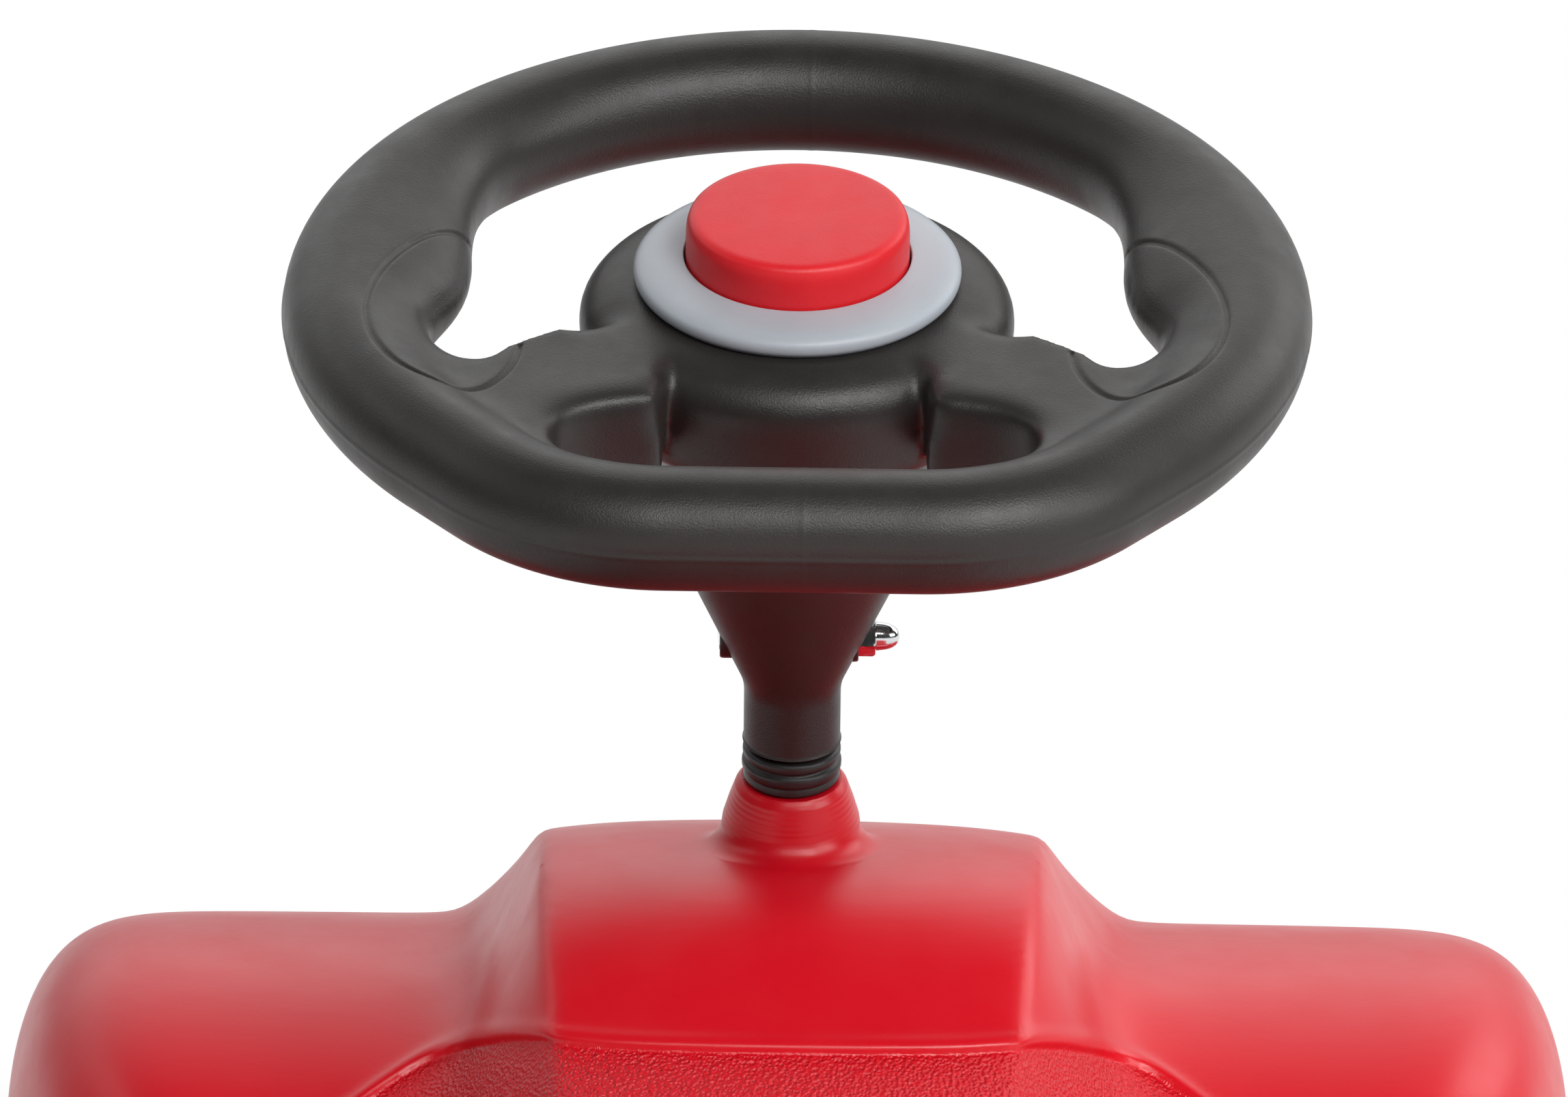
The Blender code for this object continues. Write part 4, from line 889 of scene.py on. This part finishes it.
bodyMesh = buildBody(body)
lampRooms = [plugMesh(lamp["room"], 0.02, -0.004, 64, lampPlace(side)) for side in (1, -1)]
boreMesh = turnedMesh("bore", [  # takes the spout's top off flat too
    (0, -0.085), (0.030, -0.085), (0.030, spout["top"]), (body["bore"], spout["top"]),
    (body["bore"], -0.140), (0, -0.140)], 72)
boreMesh.transform(wheelPlace)
bodyMesh = drilled(bodyMesh, boreMesh, plugMesh(body["bore"], -0.20, -0.26, 48, wheelPlace), *lampRooms)
bodyMesh.set_sharp_from_angle(angle=math.radians(50))
showPiece("bodyShell", bodyMesh, finishes["shell"], "chassis", "body_shell")
print("body shell:", len(bodyMesh.polygons), "faces")

# wheels

roadWheel = dict(
    radius=0.060, width=road["width"], seat=0.050, lugs=40, lugDepth=0.0012, grooveDepth=0.0014)


def tyreMesh(w):
    half = w["width"] / 2
    tread = w["radius"]
    groove = tread - w["grooveDepth"]
    profile = softened([
        (w["seat"] + 0.0004, half - 0.003, 0), (tread - 0.0062, half, 0.002),
        (tread - 0.0020, half - 0.0035, 0.003), (tread, half - 0.010, 0.001),
        (tread, half - 0.0135, 0.0004), (groove, half - 0.0142, 0.0004), (groove, half - 0.0158, 0.0004),
        (tread, half - 0.0165, 0.0004)], 4)
    profile = profile + [(r, -z) for r, z in reversed(profile)]
    mesh = turnedMesh("tyre", profile, w["lugs"] * 6, True, 50)
    points = pointsOf(mesh)
    reach = np.hypot(points[:, 0], points[:, 1])
    angle = np.arctan2(points[:, 1], points[:, 0])
    phase = (angle / math.tau * w["lugs"] + np.sign(points[:, 2]) * 0.25) % 1
    notch = ramp(np.abs(points[:, 2]), half - 0.0135, half - 0.009) * (phase < 0.34)
    notch *= ramp(reach, tread - 0.006, tread - 0.002)
    points[:, :2] *= (1 - notch * w["lugDepth"] / reach)[:, None]
    setPoints(mesh, points)
    return mesh


def discMesh():
    return turnedMesh("disc", softened([
        (0.0500, 0.018, 0), (0.0500, -0.018, 0.0005), (0.0440, -0.018, 0.0015), (0.0425, -0.003, 0.003),
        (0.0130, -0.002, 0.003), (0.0120, -0.017, 0.001), (0.0054, -0.017, 0), (0.0054, 0.017, 0),
        (0.0120, 0.017, 0.001), (0.0130, 0.005, 0.002), (0.0440, 0.005, 0.001), (0.0440, 0.018, 0.001),
        (0.0500, 0.018, 0)])[:-1], 72, True, 50)


def capMesh():  # domed cap with five shallow scallops
    profile = softened([
        (0, 0.0275, 0), (0.0100, 0.0272, 0.004), (0.0140, 0.0258, 0.003), (0.0330, 0.0240, 0.006),
        (0.0405, 0.0205, 0.004), (0.0433, 0.0170, 0.002), (0.0433, 0.0054, 0.0004),
        (0.0403, 0.0054, 0.0004), (0.0400, 0.0150, 0.002), (0.0300, 0.0205, 0.004),
        (0.0150, 0.0240, 0.004), (0, 0.0245, 0)], 8)
    mesh = turnedMesh("hubCap", profile, 180, False, 50)
    points = pointsOf(mesh)
    normals = normalsOf(mesh)
    reach = np.hypot(points[:, 0], points[:, 1])
    angle = np.arctan2(points[:, 1], points[:, 0])
    scallop = ramp(np.cos(5 * angle), -0.15, 0.35)
    scallop *= ramp(reach, 0.0150, 0.0185) * (1 - ramp(reach, 0.0350, 0.0385))
    points[:, 2] -= scallop * 0.0016 * (normals[:, 2] > 0.2)
    setPoints(mesh, points)
    return mesh


for end in ("front", "rear"):
    for side, label in ((1, "right"), (-1, "left")):
        hub = placed((side * road["track"], road[f"{end}Y"], road["height"]), side * math.pi / 2, "Y")
        rider, node = f"{end}_{label}_wheel", f"{end}_{label}"
        name = f"{end}{label.capitalize()}"
        showPiece(f"{name}Tyre", tyreMesh(roadWheel), finishes["tyre"], rider, f"{node}_tyre", hub)
        showPiece(f"{name}Disc", discMesh(), finishes["disc"], rider, f"{node}_disc", hub)
        showPiece(f"{name}Cap", capMesh(), finishes["cap"], rider, f"{node}_hub_cap", hub)
print("wheels: 4")

# lamp lenses


def lensMesh(lens):  # fluted front lens
    crown, radius, back = lens["crown"], lens["radius"], lens["back"]
    mesh = turnedMesh("lens", softened([
        (0, crown, 0), (radius * 0.6, crown - 0.0007, 0.004), (radius, crown - 0.0020, 0.0006),
        (radius, back, 0), (0, back, 0)], 8), 120, False, 50)
    points = pointsOf(mesh)
    fluted = ramp(-np.hypot(points[:, 0], points[:, 1]), -0.021, -0.017) * (points[:, 2] > -0.003)
    points[:, 2] += fluted * lens["flute"] * np.cos(points[:, 0] / lens["pitch"] * math.tau)
    setPoints(mesh, points)
    return mesh


lampLens = dict(radius=0.0230, crown=-0.0004, back=-0.0037, flute=0.0002, pitch=0.0040)
for side, label in ((1, "right"), (-1, "left")):
    name, node = f"lampLens{label.capitalize()}", f"lamp_lens_{label}"
    showPiece(name, lensMesh(lampLens), finishes["lens"], "chassis", node, lampPlace(side))
print("lenses: 2")

# solids that stay, with their finishes

keptFinish = {
    "steering_rod": "dullSteel", "axle_cross_tube": "dullSteel", "front_axle": "dullSteel",
    "rear_axle": "dullSteel", "clamp_bolt": "brightSteel", "lower_bush": "bush", "horn_base": "bush",
    "horn_reed": "ring"}
for end in ("front", "rear"):
    for label in ("left", "right"):
        keptFinish[f"{end}_{label}_spacer"] = "bush"
        keptFinish[f"{end}_{label}_washer"] = "dullSteel"
        keptFinish[f"{end}_{label}_axle_retainer"] = "brightSteel"
for node, finish in keptFinish.items():
    nodes[node].data.materials.clear()
    nodes[node].data.materials.append(finishes[finish])
print("kept solids:", len(keptFinish))

# floor, light and camera


def floorPiece(size):
    bm = bmesh.new()
    bmesh.ops.create_grid(bm, x_segments=2, y_segments=2, size=size["reach"])
    floor = addObject("floor", meshFrom(bm, "floor"))
    finish, tree, shader = newFinish("floorPale")
    shader.inputs["Base Color"].default_value = (size["tone"], size["tone"], size["tone"], 1)
    shader.inputs["Roughness"].default_value = 0.9
    shader.inputs["Specular IOR Level"].default_value = 0.1
    glow = addNode(tree, "ShaderNodeEmission", {"Color": (1, 1, 1, 1), "Strength": 1.0})
    rays = addNode(tree, "ShaderNodeLightPath")
    seen = combine(tree, "MAXIMUM", rays.outputs["Is Camera Ray"], rays.outputs["Is Glossy Ray"])
    seen = combine(tree, "MAXIMUM", seen, rays.outputs["Is Transmission Ray"])
    away = addNode(tree, "ShaderNodeVectorMath", operation="LENGTH")
    wire(tree, addNode(tree, "ShaderNodeTexCoord").outputs["Object"], away.inputs[0])
    fade = spread(tree, away.outputs["Value"], 0, 1, size["fadeFrom"], size["fadeTo"])
    mix = addNode(tree, "ShaderNodeMixShader")
    wire(tree, combine(tree, "MULTIPLY", seen, fade), mix.inputs["Fac"])
    wire(tree, shader.outputs["BSDF"], mix.inputs[1])
    wire(tree, glow.outputs["Emission"], mix.inputs[2])
    wire(tree, mix.outputs["Shader"], tree.nodes["Material Output"].inputs["Surface"])
    floor.data.materials.append(finish)


floorPiece(dict(reach=6.0, tone=0.82, fadeFrom=0.40, fadeTo=0.80))


def ringOfLight(aim, distance, lamps):  # softboxes round the object, by degrees round from the rider and up
    for name, lamp in lamps.items():
        turn, rise = math.radians(lamp["turn"]), math.radians(lamp["rise"])
        away = Vector((math.cos(rise) * math.sin(turn), -math.cos(rise) * math.cos(turn), math.sin(rise)))
        light = bpy.data.lights.new(name, "AREA")
        light.shape = "RECTANGLE"
        light.size = lamp["width"]
        light.size_y = lamp["height"]
        light.energy = lamp["power"]
        holder = addObject(name, light)
        place = aim + away * distance
        holder.location = place
        holder.rotation_euler = (aim - place).to_track_quat("-Z", "Y").to_euler()


ringOfLight(Vector((0, 0.1, 0.25)), 2.6, {
    "keyLight": dict(turn=30, rise=38, width=1.07, height=0.91, power=36),
    "rightLight": dict(turn=60, rise=20, width=1.28, height=0.73, power=17),
    "frontLight": dict(turn=0, rise=38, width=1.07, height=0.91, power=15),
    "rightRear": dict(turn=120, rise=30, width=1.18, height=1.63, power=13),
    "leftLight": dict(turn=-90, rise=38, width=2.15, height=0.91, power=5),
})


def studioWorld(look):  # white to the camera; for the rest a bright band on the far side, dim overhead
    world = bpy.data.worlds.new("studio")
    bpy.context.scene.world = world
    world.use_nodes = True
    tree = world.node_tree
    tree.nodes.clear()
    coords = addNode(tree, "ShaderNodeTexCoord")
    axes = addNode(tree, "ShaderNodeSeparateXYZ")
    wire(tree, coords.outputs["Generated"], axes.inputs["Vector"])
    height = axes.outputs["Z"]
    low = spread(tree, height, look["horizon"], look["band"], look["horizonTo"], look["bandFrom"])
    overhead = spread(tree, height, 1.0, look["zenith"], look["bandTo"], look["zenithFrom"])
    behind = spread(tree, axes.outputs["Y"], look["behind"], 1.0, look["sideFrom"], look["sideTo"])
    level = combine(tree, "MULTIPLY", combine(tree, "MULTIPLY", low, overhead), behind)
    light = addNode(tree, "ShaderNodeBackground", {"Color": (1, 1, 1, 1)})
    wire(tree, level, light.inputs["Strength"])
    plain = addNode(tree, "ShaderNodeBackground", {"Color": (1, 1, 1, 1), "Strength": 1.0})
    mix = addNode(tree, "ShaderNodeMixShader")
    wire(tree, addNode(tree, "ShaderNodeLightPath").outputs["Is Camera Ray"], mix.inputs["Fac"])
    wire(tree, light.outputs["Background"], mix.inputs[1])
    wire(tree, plain.outputs["Background"], mix.inputs[2])
    out = addNode(tree, "ShaderNodeOutputWorld")
    wire(tree, mix.outputs["Shader"], out.inputs["Surface"])


studioWorld(dict(
    horizon=0.75, horizonTo=0.22, band=1.65, bandFrom=0.50, bandTo=0.89, zenith=0.03, zenithFrom=0.998,
    behind=0.04, sideFrom=0.25, sideTo=0.80))

view = dict(
    distance=3.6, elevation=15.0, yaw=-0.2, roll=0.75, pixelsPerMetre=7717, wheelX=1167, wheelY=457,
    width=2296, height=1607, sensor=36)


def photoCamera(v):
    el, yaw, roll = (math.radians(v[key]) for key in ("elevation", "yaw", "roll"))
    target = Vector((0, column["rimY"], column["rimZ"]))
    ahead = Vector((math.sin(yaw) * math.cos(el), math.cos(yaw) * math.cos(el), -math.sin(el)))
    right = Vector((math.cos(yaw), -math.sin(yaw), 0))
    up = right.cross(ahead)
    place = target - ahead * v["distance"]
    tiltedRight = right * math.cos(roll) + up * math.sin(roll)
    tiltedUp = up * math.cos(roll) - right * math.sin(roll)
    dx = (v["wheelX"] - v["width"] / 2) / v["pixelsPerMetre"]
    dy = (v["height"] / 2 - v["wheelY"]) / v["pixelsPerMetre"]
    aim = target - tiltedRight * dx - tiltedUp * dy
    back = (place - aim).normalized()
    side = tiltedUp.cross(back).normalized()
    top = back.cross(side)
    lens = bpy.data.cameras.new("photoCamera")
    lens.sensor_width = v["sensor"]
    lens.lens = v["pixelsPerMetre"] * v["distance"] * v["sensor"] / v["width"]
    lens.clip_start = 0.05
    lens.clip_end = 60
    camera = addObject("photoCamera", lens)
    camera.matrix_world = Matrix.Translation(place) @ Matrix((side, top, back)).transposed().to_4x4()
    bpy.context.scene.camera = camera


photoCamera(view)
bpy.context.scene.view_settings.view_transform = "Standard"
